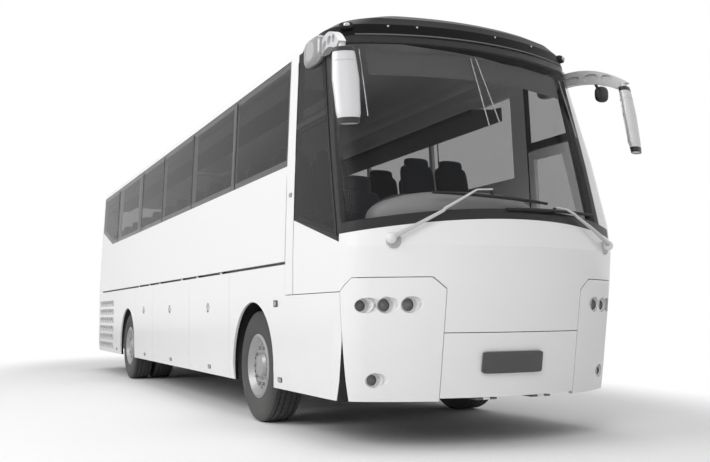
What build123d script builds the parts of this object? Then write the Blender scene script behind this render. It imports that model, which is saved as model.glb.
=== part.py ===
from build123d import *
import math
import os

# A twelve metre touring coach, right-hand drive, with its entrance door on the left.
# Model frame while building: X to the coach's left, Y from the nose to the tail, Z up from the road.
# The finished pieces are moved so that the origin lies on the road under the middle of the body.

# Overall sizes
LENGTH = 12000.0
WIDTH = 2550.0
HEIGHT = 3500.0
HALF = WIDTH / 2

# Heights of the body lines
SKIRT_Z = 363.0
CREASE_Z = 520.0
FLAP_TOP_Z = 866.0
CAB_LINE_Z = 1174.0
LAMP_PANEL_Z = 1270.0
GUTTER_Z = 1450.0
SCREEN_SIDE_Z = 1592.0
SCREEN_MID_Z = 1705.0
BELT_Z = 2298.0
HEADER_Z = 2605.0
CANTRAIL_Z = HEIGHT - 250.0
SCREEN_TOP_Z = HEIGHT - 265.0

# Lengthwise places of the body lines, from the nose
FRONT_SPLIT_Y = 600.0
DOOR_FRONT_Y = 700.0
DOOR_REAR_Y = 1506.0
STRIPE_REAR_Y = 1713.0
FRONT_AXLE_Y = 2590.0
WHEELBASE = 6250.0
REAR_AXLE_Y = FRONT_AXLE_Y + WHEELBASE
REAR_SPLIT_Y = LENGTH - 430.0
ROOF_CAP_Y = 1450.0
PILLAR_RAKE = 0.23

# Walls and gaps
WALL = 45.0
GLASS = 6.0
SEAT = 0.3
SHUT = 6.0
DOOR_SHUT = 10.0
HINGE_R = 8.0
HINGE_CLEAR = 5.0

# Wheels and arches
TYRE_R = 522.0
TYRE_W = 298.0
RIM_LIP_R = 302.0
TWIN_PITCH = 340.0
FRONT_TRACK_IN = 50.0
REAR_TRACK_IN = 40.0
ARCH_R = 590.0
ARCH_Z = 535.0
LINER = 8.0
HUB_R = 130.0
STUB_R = 45.0

# Floors and hold
SALOON_FLOOR_Z = 1500.0
CAB_FLOOR_Z = 1120.0
HOLD_FLOOR_Z = 400.0
FLOOR_T = 40.0
PANEL_T = 25.0

# Sections of the body from the sill up. Columns: height above the road, setback of the nose from
# the foremost point, tuck-in of each side, nose radius in plan, front corner radius in plan,
# setback of the tail from the rearmost point, rear corner radius in plan.
BODY_SECTIONS = [
    (300.0, 190.0, 16.0, 2000.0, 300.0, 110.0, 170.0),
    (CREASE_Z, 150.0, 0.0, 2000.0, 320.0, 60.0, 180.0),
    (1250.0, 28.0, 0.0, 2000.0, 340.0, 0.0, 200.0),
    (1500.0, 0.0, 0.0, 2000.0, 350.0, 0.0, 200.0),
    (1750.0, 25.0, 6.265, 2000.0, 350.0, 12.0, 200.0),
    (BELT_Z, 215.0, 20.0, 2200.0, 370.0, 45.0, 200.0),
    (CANTRAIL_Z, 570.0, 60.0, 2470.0, 390.0, 120.0, 200.0),
    (HEIGHT - 170.0, 590.0, 92.0, 2470.0, 390.0, 150.0, 200.0),
    (HEIGHT - 100.0, 645.0, 200.0, 2470.0, 390.0, 190.0, 200.0),
    (HEIGHT - 50.0, 727.0, 370.0, 2470.0, 390.0, 250.0, 200.0),
    (HEIGHT - 15.0, 835.0, 600.0, 2470.0, 390.0, 340.0, 200.0),
    (HEIGHT, 977.0, 909.0, 2470.0, 350.0, 480.0, 200.0),
]
TAIL_PLAN_R = 6000.0


def corner_points(half, big, small, end, sign):
    """Joints of a wide arc, a corner arc and a straight side, at one end of a body section."""
    cy = end + sign * big
    kx = half - small
    ky = cy - sign * math.sqrt((big - small) ** 2 - kx**2)
    ux, uy = kx / (big - small), (ky - cy) / (big - small)
    bend = math.atan2(uy, ux) / 2
    start = (ux * big, cy + uy * big)
    middle = (kx + small * math.cos(bend), ky + small * math.sin(bend))
    return start, middle, (half, ky)


def section_wire(row, inset):
    """Outline of the body at one height: nose arc, corners, straight sides and tail arc."""
    height, setback, tuck, nose_r, corner_r, tail_back, tail_corner_r = row
    drop = inset * max(0.0, (height - CANTRAIL_Z) / (HEIGHT - CANTRAIL_Z))
    z = height - drop
    half = HALF - tuck - inset
    nose, tail = setback + inset, LENGTH - tail_back - inset
    f1, f2, f3 = corner_points(half, nose_r - inset, corner_r - inset, nose, 1)
    t1, t2, t3 = corner_points(half, TAIL_PLAN_R - inset, tail_corner_r - inset, tail, -1)

    def at(point, side=1):
        return Vector(side * point[0], point[1], z)

    return Wire(
        [
            Edge.make_three_point_arc(at(f1, -1), Vector(0, nose, z), at(f1)),
            Edge.make_three_point_arc(at(f1), at(f2), at(f3)),
            Edge.make_line(at(f3), at(t3)),
            Edge.make_three_point_arc(at(t3), at(t2), at(t1)),
            Edge.make_three_point_arc(at(t1), Vector(0, tail, z), at(t1, -1)),
            Edge.make_three_point_arc(at(t1, -1), at(t2, -1), at(t3, -1)),
            Edge.make_line(at(t3, -1), at(f3, -1)),
            Edge.make_three_point_arc(at(f3, -1), at(f2, -1), at(f1, -1)),
        ]
    )


def envelope(inset):
    """The body's outer form drawn in by an inset, as one closed loft."""
    return Solid.make_loft([section_wire(row, inset) for row in BODY_SECTIONS], ruled=True)


def box(x0, x1, y0, y1, z0, z1):
    """A block between two corners."""
    size = Solid.make_box(x1 - x0, y1 - y0, z1 - z0)
    return size.moved(Location((x0, y0, z0)))


def prism(points, axis, low, high):
    """A polygon carried along X (points y, z), Y (points x, z) or Z (points x, y)."""
    place = {
        "x": lambda p: (low, p[0], p[1]),
        "y": lambda p: (p[0], low, p[1]),
        "z": lambda p: (p[0], p[1], low),
    }[axis]
    way = {"x": (high - low, 0, 0), "y": (0, high - low, 0), "z": (0, 0, high - low)}[axis]
    face = Face(Wire.make_polygon([Vector(*place(p)) for p in points], close=True))
    return Solid.extrude(face, Vector(*way))


def rod(start, end, radius):
    """A round bar between two points."""
    way = Vector(*end) - Vector(*start)
    return Solid.make_cylinder(radius, way.length, Plane(origin=start, z_dir=way))


def turned(profile, axis_x):
    """A ring turned about the X direction. Profile points: (radius, x)."""
    face = Face(Wire.make_polygon([Vector(axis_x + p[1], p[0], 0) for p in profile], close=True))
    return Solid.revolve(face, 360, Axis.X)


def other_side(shape):
    return shape.mirror(Plane.YZ)


def solids_of(shape):
    """All separate solids of a result, whether it came as one solid, a list or a compound."""
    if isinstance(shape, (list, tuple)):
        return [s for item in shape for s in solids_of(item)]
    return list(shape.solids())


def write(name, shape):
    moved = [s.moved(Location((0, -LENGTH / 2, 0))) for s in solids_of(shape)]
    result = moved[0] if len(moved) == 1 else Compound(children=moved)
    export_step(result, f"parts/{name}.step")


def pillar_y(z):
    """The raked line of the screen pillar seen from the side."""
    return FRONT_SPLIT_Y + 40.0 + (z - SCREEN_SIDE_Z) * PILLAR_RAKE


os.makedirs("parts", exist_ok=True)
FAR = LENGTH + 1000.0
OUTER = envelope(0.0)
INNER = envelope(WALL)
GLASS_IN = envelope(GLASS)
FRAME_OUT = envelope(GLASS + SEAT)
SHELL = OUTER - INNER
SKIN = OUTER - GLASS_IN
TOP = HEIGHT + 100.0

# ---------------------------------------------------------------- front of the body
ARC_X = HALF + 60.0


def screen_lower_edge(gap):
    """Everything above the curved lower edge of the windscreen, seen from the front."""
    drop = SCREEN_MID_Z - SCREEN_SIDE_Z
    low = SCREEN_SIDE_Z + gap
    edge = [
        Edge.make_three_point_arc(
            Vector(-ARC_X, -500, low), Vector(0, -500, low + drop), Vector(ARC_X, -500, low)
        ),
        Edge.make_line(Vector(ARC_X, -500, low), Vector(ARC_X, -500, TOP)),
        Edge.make_line(Vector(ARC_X, -500, TOP), Vector(-ARC_X, -500, TOP)),
        Edge.make_line(Vector(-ARC_X, -500, TOP), Vector(-ARC_X, -500, low)),
    ]
    return Solid.extrude(Face(Wire(edge)), Vector(0, 3000, 0))


def ahead_of_pillar(gap, z0, z1):
    """Everything ahead of the screen pillar line, between two heights."""
    line = [(-500, z0), (pillar_y(z0) - gap, z0), (pillar_y(z1) - gap, z1), (-500, z1)]
    return prism(line, "x", -ARC_X, ARC_X)


screen_zone = ahead_of_pillar(0.0, SCREEN_SIDE_Z - 40.0, SCREEN_TOP_Z) & screen_lower_edge(0.0)
windscreen = SKIN & screen_zone
screen_hole = ahead_of_pillar(70.0, SCREEN_SIDE_Z, SCREEN_TOP_Z - 70.0) & screen_lower_edge(80.0)
frame_zone = ahead_of_pillar(SEAT, SCREEN_SIDE_Z - 40.0, SCREEN_TOP_Z - SEAT) & screen_lower_edge(SEAT)
windscreen_frame = ((FRAME_OUT - INNER) & frame_zone) - screen_hole

FLAP_HALF = 618.0
LAMP_TOP_X = 722.0
LAMP_STEP_Z = 1184.0
LAMP_END_Y = 480.0


def lamp_panel_zone(side, gap):
    """Left or right lamp panel: from the flap round the corner to the side of the body."""
    inner = FLAP_HALF + gap
    top = LAMP_PANEL_Z - gap
    front = [
        (inner, SKIRT_Z), (HALF + 50, SKIRT_Z), (HALF + 50, top), (LAMP_TOP_X + gap, top),
        (inner, LAMP_STEP_Z - gap),
    ]
    flank = [
        (-500, SKIRT_Z), (FRONT_SPLIT_Y - gap, SKIRT_Z), (FRONT_SPLIT_Y - gap, CAB_LINE_Z - gap),
        (LAMP_END_Y, top), (-500, top),
    ]
    zone = prism(front, "y", -500, 1000) & prism(flank, "x", 300, HALF + 50)
    return zone if side > 0 else other_side(zone)


front_zone = box(-ARC_X, ARC_X, -500, FRONT_SPLIT_Y, SKIRT_Z, SCREEN_MID_Z + 50)
upper_front = (SHELL & front_zone) - screen_lower_edge(-SEAT)
below_line = box(-FLAP_HALF - SHUT / 2, FLAP_HALF + SHUT / 2, -500, 1000, 0, FLAP_TOP_Z)
front_panel = upper_front - below_line - lamp_panel_zone(1, -SHUT / 2) - lamp_panel_zone(-1, -SHUT / 2)
front_panel = front_panel - box(-ARC_X, ARC_X, -500, 1000, 0, FLAP_TOP_Z - 1)
lamp_panel_left = SHELL & lamp_panel_zone(1, SHUT / 2)

FLAP_AXIS_Z = SKIRT_Z + HINGE_R
front_flap = SHELL & box(
    -FLAP_HALF + SHUT / 2, FLAP_HALF - SHUT / 2, -500, FRONT_SPLIT_Y,
    FLAP_AXIS_Z + HINGE_R + HINGE_CLEAR, FLAP_TOP_Z - SHUT,
)

FLAP_HINGE_X = 250.0
FLAP_AXIS_Y = 210.0


def flap_barrel(x, z_low, z_high, y_back):
    """A barrel of the flap's bottom hinge, with its web up to the flap or back to the frame."""
    half_l = KNUCKLE_L / 2
    barrel = rod((x - half_l, FLAP_AXIS_Y, FLAP_AXIS_Z), (x + half_l, FLAP_AXIS_Y, FLAP_AXIS_Z), HINGE_R)
    return barrel + box(x - half_l, x + half_l, FLAP_AXIS_Y - 4, y_back, z_low, z_high)


KNUCKLE_L = 60.0
HINGE_GAP = 0.3
for x in (-FLAP_HINGE_X, FLAP_HINGE_X):
    front_flap = front_flap + flap_barrel(
        x, FLAP_AXIS_Z, FLAP_AXIS_Z + HINGE_R + HINGE_CLEAR + 3, FLAP_AXIS_Y + 4
    )
write("front_flap", front_flap)

# Lamps in the lamp panels. Columns: across, height, how far back the glass sits, radius.
FRONT_LAMPS = [
    (861.0, 1070.0, 232.0, 62.0),
    (1013.0, 1068.0, 300.0, 62.0),
    (1150.0, 1066.0, 415.0, 56.0),
    (1060.0, 519.0, 430.0, 55.0),
]
LAMP_DEPTH = 80.0
LAMP_FIT = 0.3
# Each lamp sits at the bottom of a scoop that opens towards the middle of the body.
SCOOP_WAY = (-0.55, -0.83, 0.0)
SCOOP_FLARE, SCOOP_L = 6.0, 120.0
for x, z, y, r in FRONT_LAMPS:
    lamp_panel_left = lamp_panel_left - rod((x, y - 200, z), (x, y + 200, z), r)
    scoop = Plane(origin=(x, y, z), z_dir=SCOOP_WAY)
    lamp_panel_left = lamp_panel_left - Solid.make_cone(r, r + SCOOP_FLARE, SCOOP_L, scoop)
front_lamps = [
    rod((side * x, y, z), (side * x, y + LAMP_DEPTH, z), r - LAMP_FIT)
    for x, z, y, r in FRONT_LAMPS for side in (1, -1)
]
write("lamp_panels", [lamp_panel_left, other_side(lamp_panel_left)])
write("front_lamps", front_lamps)

write("windscreen", windscreen)
write("windscreen_frame", windscreen_frame)
write("front_panel", front_panel)

# ---------------------------------------------------------------- side walls and glazing
DOOR_TOP_Z = HEADER_Z - 35.0
GLASS_RISE_Y = REAR_SPLIT_Y - 1080.0
GLASS_RISE_Z = BELT_Z + 300.0
BAR = 45.0
POST = 60.0
# Window posts of the saloon: centre of each post along the side.
POST_PITCH = 1640.0
POST_COUNT = 6

saloon_glass_line = [
    (STRIPE_REAR_Y, BELT_Z), (GLASS_RISE_Y, BELT_Z), (REAR_SPLIT_Y, GLASS_RISE_Z),
    (REAR_SPLIT_Y, CANTRAIL_Z), (STRIPE_REAR_Y, CANTRAIL_Z),
]


def inset_quad(y0, y1, z0, z1, front_slope=0.0):
    """Four corners of a window, its front edge leaning back by a slope."""
    return [(y0, z0), (y1, z0), (y1, z1), (y0 + (z1 - z0) * front_slope, z1)]


cab_sill_front = SCREEN_SIDE_Z + 10.0
cab_sill_rear = SCREEN_SIDE_Z + 220.0
cab_rear_y = STRIPE_REAR_Y - 186.0
cab_glass_line = [
    (pillar_y(cab_sill_front) + 20.0, cab_sill_front), (cab_rear_y, cab_sill_rear),
    (cab_rear_y, HEADER_Z - BAR / 2), (pillar_y(HEADER_Z - BAR / 2) + 20.0, HEADER_Z - BAR / 2),
]
quarter_glass_line = [
    (pillar_y(HEADER_Z + BAR / 2) + 20.0, HEADER_Z + BAR / 2), (cab_rear_y, HEADER_Z + BAR / 2),
    (cab_rear_y, CANTRAIL_Z), (pillar_y(CANTRAIL_Z) + 20.0, CANTRAIL_Z),
]


def side_prism(points):
    return prism(points, "x", 500.0, HALF + 60.0)


def offset_prism(points, by):
    face = Face(Wire.make_polygon([Vector(500.0, p[0], p[1]) for p in points], close=True))
    outline = face.outer_wire().offset_2d(by, kind=Kind.INTERSECTION)
    return Solid.extrude(Face(outline), Vector(HALF - 440.0, 0, 0))


posts = [STRIPE_REAR_Y + POST_PITCH * (i + 1) for i in range(POST_COUNT)]
openings = []
window_edges = [STRIPE_REAR_Y + 10.0] + posts + [REAR_SPLIT_Y - 20.0]
for start, end in zip(window_edges[:-1], window_edges[1:]):
    openings.append((start + POST / 2, end - POST / 2))


def saloon_hole(start, end):
    low = BELT_Z + POST
    rise = [(start, low), (end, low), (end, CANTRAIL_Z - POST), (start, CANTRAIL_Z - POST)]
    if end > GLASS_RISE_Y:
        slope = (GLASS_RISE_Z - BELT_Z) / (REAR_SPLIT_Y - GLASS_RISE_Y)
        rise = [
            (start, low), (max(start, GLASS_RISE_Y), low), (end, low + (end - GLASS_RISE_Y) * slope),
            (end, CANTRAIL_Z - POST), (start, CANTRAIL_Z - POST),
        ]
        if start >= GLASS_RISE_Y:
            rise = rise[1:]
    return side_prism(rise)


WALL_FOOT_Z = GUTTER_Z + HINGE_R + HINGE_CLEAR
DOOR_HEAD_Z = GUTTER_Z - HINGE_R - HINGE_CLEAR
side_line_right = [
    (FRONT_SPLIT_Y, CAB_LINE_Z), (STRIPE_REAR_Y, CAB_LINE_Z), (STRIPE_REAR_Y, WALL_FOOT_Z),
    (REAR_SPLIT_Y, WALL_FOOT_Z), (REAR_SPLIT_Y, CANTRAIL_Z), (pillar_y(CANTRAIL_Z), CANTRAIL_Z),
    (pillar_y(SCREEN_SIDE_Z) , SCREEN_SIDE_Z), (FRONT_SPLIT_Y, SCREEN_SIDE_Z),
]
glass_zones = [saloon_glass_line, cab_glass_line, quarter_glass_line]
saloon_pocket = offset_prism(saloon_glass_line, SEAT) - FRAME_OUT
saloon_holes = [saloon_hole(start, end) for start, end in openings]
cab_cuts = [offset_prism(line, SEAT) - FRAME_OUT for line in glass_zones[1:]]
cab_cuts += [offset_prism(line, -POST / 2) for line in glass_zones[1:]]
saloon_glass = SKIN & side_prism(saloon_glass_line)
wall = SHELL & side_prism(side_line_right)
side_wall_right = other_side(wall.cut(saloon_pocket, *saloon_holes, *cab_cuts))
cab_glass = [SKIN & side_prism(line) for line in glass_zones[1:]]
side_glazing_right = [other_side(pane) for pane in [saloon_glass] + cab_glass]

door_line = [
    (DOOR_FRONT_Y, SKIRT_Z), (DOOR_REAR_Y, SKIRT_Z), (DOOR_REAR_Y, DOOR_TOP_Z),
    (pillar_y(DOOR_TOP_Z) + 60.0, DOOR_TOP_Z), (DOOR_FRONT_Y, SCREEN_SIDE_Z),
]
door_cut = [(DOOR_FRONT_Y, 0.0), (DOOR_REAR_Y, 0.0)] + door_line[2:]
left_line = [(FRONT_SPLIT_Y, SKIRT_Z), (STRIPE_REAR_Y, SKIRT_Z)] + side_line_right[2:]
door_cuts = [offset_prism(door_cut, DOOR_SHUT), cab_cuts[1], cab_cuts[3]]
wall = SHELL & side_prism(left_line)
side_wall_left = wall.cut(saloon_pocket, *saloon_holes, *door_cuts)
side_glazing_left = [saloon_glass, cab_glass[1]]
write("side_walls", [side_wall_right, side_wall_left])
write("side_glazing", side_glazing_right + side_glazing_left)

# ---------------------------------------------------------------- roof
roof_zone = box(-ARC_X, ARC_X, -500, FAR, CANTRAIL_Z, TOP)
# The windscreen ends a little below the cantrail, so the front cap reaches down to it.
cap_zone = box(-ARC_X, ARC_X, -500, ROOF_CAP_Y, SCREEN_TOP_Z, TOP)
roof_all = SHELL & roof_zone
roof_front_cap = (SHELL & cap_zone) & prism(
    [
        (-500, SCREEN_TOP_Z + SEAT), (pillar_y(SCREEN_TOP_Z) - SEAT, SCREEN_TOP_Z + SEAT),
        (pillar_y(CANTRAIL_Z) - SEAT, CANTRAIL_Z), (ROOF_CAP_Y, CANTRAIL_Z),
        (ROOF_CAP_Y, TOP), (-500, TOP),
    ],
    "x", -ARC_X, ARC_X,
)
HATCHES = [(3600.0, "front"), (8600.0, "rear")]
HATCH_L, HATCH_W = 700.0, 800.0
roof_shell = roof_all & box(-ARC_X, ARC_X, ROOF_CAP_Y + SEAT, FAR, CANTRAIL_Z, TOP)
for hatch_y, _ in HATCHES:
    roof_shell = roof_shell - box(
        -HATCH_W / 2, HATCH_W / 2, hatch_y, hatch_y + HATCH_L, HEIGHT - 200, TOP
    )
write("roof_shell", roof_shell)
write("roof_front_cap", roof_front_cap)
HATCH_T = 35.0
HATCH_LIP = 40.0
HATCH_CLEAR = 6.0
hatch_hinges = []
for hatch_y, hatch_end in HATCHES:
    low = HEIGHT + HATCH_CLEAR
    front = hatch_y - HATCH_LIP
    axis_y, axis_z = front - 14.0, low + HINGE_R
    lid = box(
        -HATCH_W / 2 - HATCH_LIP, HATCH_W / 2 + HATCH_LIP, front, hatch_y + HATCH_L + HATCH_LIP,
        low, low + HATCH_T,
    )
    for x in (-HATCH_W / 4, HATCH_W / 4):
        half_l = KNUCKLE_L / 2
        lid = lid + rod((x - half_l, axis_y, axis_z), (x + half_l, axis_y, axis_z), HINGE_R)
        lid = lid + box(x - half_l, x + half_l, axis_y, front + 5, axis_z - 4, axis_z + 4)
        for side in (-1, 1):
            start = x + side * (half_l + HINGE_GAP)
            end = start + side * KNUCKLE_L
            ear = rod((start, axis_y, axis_z), (end, axis_y, axis_z), HINGE_R)
            ear = ear + box(min(start, end), max(start, end), axis_y - 6, axis_y + 6, HEIGHT, axis_z)
            hatch_hinges.append(ear)
    write(f"roof_hatch_{hatch_end}", lid)

# ---------------------------------------------------------------- rear of the body
REAR_GLASS_LOW, REAR_GLASS_TOP, REAR_GLASS_HALF = 2420.0, 3180.0, 960.0
LID_HALF, LID_LOW_Z = 760.0, 560.0
rear_zone = box(-ARC_X, ARC_X, REAR_SPLIT_Y + SEAT, FAR, WALL_FOOT_Z, CANTRAIL_Z)
rear_pane = [
    (-REAR_GLASS_HALF, REAR_GLASS_LOW), (REAR_GLASS_HALF, REAR_GLASS_LOW),
    (REAR_GLASS_HALF - 60, REAR_GLASS_TOP), (-REAR_GLASS_HALF + 60, REAR_GLASS_TOP),
]


def rear_prism(points, by=0.0):
    face = Face(Wire.make_polygon([Vector(p[0], REAR_SPLIT_Y, p[1]) for p in points], close=True))
    outline = face.outer_wire()
    if by:
        outline = outline.offset_2d(by, kind=Kind.INTERSECTION)
    return Solid.extrude(Face(outline), Vector(0, 1000, 0))


rear_upper = (SHELL & rear_zone).cut(
    rear_prism(rear_pane, SEAT) - FRAME_OUT, rear_prism(rear_pane, -POST / 2)
)
rear_window = SKIN & rear_prism(rear_pane)
lower_zone = box(-ARC_X, ARC_X, REAR_SPLIT_Y + SEAT, FAR, SKIRT_Z, DOOR_HEAD_Z)
lid_zone = box(-LID_HALF, LID_HALF, REAR_SPLIT_Y, FAR, LID_LOW_Z, DOOR_HEAD_Z)
rear_lower_shell = SHELL & lower_zone
rear_lower = rear_lower_shell - box(
    -LID_HALF - SHUT, LID_HALF + SHUT, REAR_SPLIT_Y, FAR, LID_LOW_Z - SHUT, GUTTER_Z + 50
)
engine_lid = rear_lower_shell & lid_zone
write("rear_upper_panel", rear_upper)
write("rear_window", rear_window)
write("rear_lower_panel", rear_lower)

# ---------------------------------------------------------------- hinges
def knuckle(axis, middle, along, length, way):
    """A hinge barrel on its axis with a web that reaches up (+1) or down (-1) to its panel."""
    a, b = middle + along - length / 2, middle + along + length / 2
    reach = HINGE_R + HINGE_CLEAR
    if axis == "y":
        x = HALF - HINGE_R
        barrel = rod((x, a, GUTTER_Z), (x, b, GUTTER_Z), HINGE_R)
        low, high = (GUTTER_Z, GUTTER_Z + reach) if way > 0 else (GUTTER_Z - reach - 2, GUTTER_Z)
        return barrel + box(x - 4, x + 4, a, b, low, high)
    y = LENGTH - HINGE_R
    barrel = rod((a, y, GUTTER_Z), (b, y, GUTTER_Z), HINGE_R)
    low, high = (GUTTER_Z, GUTTER_Z + reach) if way > 0 else (GUTTER_Z - reach - 2, GUTTER_Z)
    return barrel + box(a, b, y - 4, y + 4, low, high)


def fixed_hinge(axis, middle):
    """The body's half of a hinge: two barrels either side of the lid's, under one strap."""
    step = KNUCKLE_L + HINGE_GAP
    half_l = KNUCKLE_L * 1.5
    pair = knuckle(axis, middle, -step, KNUCKLE_L, 1) + knuckle(axis, middle, step, KNUCKLE_L, 1)
    low, high = WALL_FOOT_Z - 3, WALL_FOOT_Z
    if axis == "y":
        x = HALF - HINGE_R
        return pair + box(x - 20, x + 4, middle - half_l, middle + half_l, low, high)
    y = LENGTH - HINGE_R
    return pair + box(middle - half_l, middle + half_l, y - 20, y + 4, low, high)


# ---------------------------------------------------------------- lower sides and luggage lockers
LOCKER_EDGES = [(3317.0, 4918.0), (4918.0, 6953.0), (6953.0, 8190.0)]
HANDLE_Z, HANDLE_R = 1088.0, 48.0
lower_side = SHELL & box(500, HALF + 60, FRONT_SPLIT_Y, REAR_SPLIT_Y, SKIRT_Z, DOOR_HEAD_Z)


def arch(y, radius):
    return rod((300, y, ARCH_Z), (HALF + 100, y, ARCH_Z), radius)


skirt_rear = lower_side & box(500, HALF + 60, LOCKER_EDGES[-1][1] + SHUT / 2, REAR_SPLIT_Y, 0, TOP)
skirt_rear = skirt_rear - arch(REAR_AXLE_Y, ARCH_R)
front_end = LOCKER_EDGES[0][0] - SHUT / 2
skirt_mid = lower_side & box(500, HALF + 60, STRIPE_REAR_Y + SHUT / 2, front_end, 0, TOP)
skirt_mid = skirt_mid - arch(FRONT_AXLE_Y, ARCH_R)
skirt_cab = lower_side & box(
    500, HALF + 60, FRONT_SPLIT_Y + SHUT / 2, STRIPE_REAR_Y + SHUT / 2, 0, CAB_LINE_Z - SHUT
)
VENT_Y0, VENT_Z0, VENT_COLUMNS, VENT_ROWS = 10200.0, 480.0, 6, 6
VENT_PITCH_Y, VENT_PITCH_Z, VENT_L, VENT_H = 245.0, 148.0, 170.0, 55.0
slots = [
    box(
        HALF - 200, HALF + 60, VENT_Y0 + i * VENT_PITCH_Y, VENT_Y0 + i * VENT_PITCH_Y + VENT_L,
        VENT_Z0 + k * VENT_PITCH_Z, VENT_Z0 + k * VENT_PITCH_Z + VENT_H,
    )
    for i in range(VENT_COLUMNS) for k in range(VENT_ROWS)
]
skirt_rear = skirt_rear.cut(*slots)
write("skirts", [skirt_mid, skirt_rear] + [other_side(s) for s in (skirt_cab, skirt_mid, skirt_rear)])

hinges = []
for number, (start, end) in enumerate(LOCKER_EDGES, start=1):
    panel = lower_side & box(500, HALF + 60, start + SHUT / 2, end - SHUT / 2, 0, TOP)
    mid = (start + end) / 2
    panel = panel - rod((HALF - 12, mid, HANDLE_Z), (HALF + 50, mid, HANDLE_Z), HANDLE_R)
    panel = panel + rod((HALF - 13, mid, HANDLE_Z), (HALF - 3, mid, HANDLE_Z), HANDLE_R - 12)
    for along in (start + (end - start) * 0.2, end - (end - start) * 0.2):
        panel = panel + knuckle("y", along, 0.0, KNUCKLE_L, -1)
        hinges.append(fixed_hinge("y", along))
    write(f"locker_door_{number}_left", panel)
    write(f"locker_door_{number}_right", other_side(panel))
for along in (-200.0, 200.0):
    engine_lid = engine_lid + knuckle("x", along, 0.0, KNUCKLE_L, -1)
write("engine_lid", engine_lid)
lid_hinges = [fixed_hinge("x", along) for along in (-200.0, 200.0)]
write("hinges", hinges + [other_side(h) for h in hinges] + lid_hinges + hatch_hinges)

# ---------------------------------------------------------------- entrance door
ARM_L = 495.0
POST_X, POST_Y = HALF - 95.0, 800.0
POST_R = 22.0
ARM_ZS = (540.0, 940.0)
DOOR_PIN_R = 14.0
door_glass_line = [
    (DOOR_FRONT_Y + 50, 1010.0), (DOOR_REAR_Y - 50, 1010.0), (DOOR_REAR_Y - 50, DOOR_TOP_Z - 50),
    (pillar_y(DOOR_TOP_Z) + 130.0, DOOR_TOP_Z - 50), (DOOR_FRONT_Y + 50, SCREEN_SIDE_Z + 40),
]
door = (SHELL & side_prism(door_line)).cut(
    offset_prism(door_glass_line, SEAT) - FRAME_OUT, offset_prism(door_glass_line, -POST / 2)
)
for z in ARM_ZS:
    bracket = box(POST_X - 20, HALF - WALL + 5, POST_Y + ARM_L - 20, POST_Y + ARM_L + 20, z - 40, z - 26)
    bracket = bracket + box(
        POST_X - 20, HALF - WALL + 5, POST_Y + ARM_L - 20, POST_Y + ARM_L + 20, z + 26, z + 40
    )
    pin = rod((POST_X, POST_Y + ARM_L, z - 30), (POST_X, POST_Y + ARM_L, z + 30), DOOR_PIN_R)
    door = door + bracket + pin
write("entrance_door", door)
write("door_glass", SKIN & side_prism(door_glass_line))
arms = rod((POST_X, POST_Y, HOLD_FLOOR_Z + SEAT), (POST_X, POST_Y, 1000), POST_R)
for z in ARM_ZS:
    arm = box(POST_X - 12, POST_X + 12, POST_Y, POST_Y + ARM_L, z - 20, z + 20)
    arm = arm + rod((POST_X, POST_Y + ARM_L, z - 20), (POST_X, POST_Y + ARM_L, z + 20), DOOR_PIN_R + 10)
    eye = rod((POST_X, POST_Y + ARM_L, z - 50), (POST_X, POST_Y + ARM_L, z + 50), DOOR_PIN_R + 0.5)
    arms = arms + (arm - eye)
write("door_arms", arms)

# ---------------------------------------------------------------- floors, hold and underframe
INNER_X = HALF - WALL - SEAT
HOLD_FRONT_Y = LOCKER_EDGES[0][0] - 27.0
HOLD_REAR_Y = LOCKER_EDGES[-1][1] - 5.0
floor_low = SALOON_FLOOR_Z - FLOOR_T
saloon_floor = box(-INNER_X, INNER_X, STRIPE_REAR_Y, REAR_SPLIT_Y, floor_low, SALOON_FLOOR_Z)
for start, end, reach in (
    (STRIPE_REAR_Y, HOLD_FRONT_Y, INNER_X), (HOLD_FRONT_Y, HOLD_REAR_Y, INNER_X - HINGE_CLEAR),
    (HOLD_REAR_Y, REAR_SPLIT_Y, INNER_X),
):
    for side in (1, -1):
        x0, x1 = sorted((side * (reach - 40), side * reach))
        saloon_floor = saloon_floor + box(x0, x1, start, end, floor_low - 60, floor_low)
write("saloon_floor", saloon_floor)
STAIR_X = 430.0
cab_floor = prism(
    [
        (-750, 340), (750, 340), (INNER_X, 820), (INNER_X, STRIPE_REAR_Y - SEAT),
        (-INNER_X, STRIPE_REAR_Y - SEAT), (-INNER_X, 820),
    ],
    "z", CAB_FLOOR_Z - FLOOR_T, CAB_FLOOR_Z,
)
cab_floor = cab_floor - box(STAIR_X, HALF, DOOR_FRONT_Y - 10, DOOR_REAR_Y + 10, 0, TOP)
cab_floor = cab_floor + box(
    -INNER_X, INNER_X, STRIPE_REAR_Y - FLOOR_T, STRIPE_REAR_Y - SEAT, CAB_FLOOR_Z, SALOON_FLOOR_Z
)
write("cab_floor", cab_floor)
STEP_T = 25.0
STEP_X = INNER_X - 25.0
tread = (STEP_X - STAIR_X - STEP_T) / 3
rise = (CAB_FLOOR_Z - HOLD_FLOOR_Z) / 3
stair_line = [
    (STAIR_X + SEAT, HOLD_FLOOR_Z - STEP_T), (STEP_X, HOLD_FLOOR_Z - STEP_T), (STEP_X, HOLD_FLOOR_Z),
]
for i in (1, 2):
    x = STEP_X - tread * i
    stair_line += [(x, HOLD_FLOOR_Z + rise * (i - 1)), (x, HOLD_FLOOR_Z + rise * i)]
stair_line += [
    (STAIR_X + STEP_T, HOLD_FLOOR_Z + rise * 2), (STAIR_X + STEP_T, CAB_FLOOR_Z),
    (STAIR_X + SEAT, CAB_FLOOR_Z),
]
write("entrance_steps", prism(stair_line, "y", DOOR_FRONT_Y + 20, DOOR_REAR_Y - 10))

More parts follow.
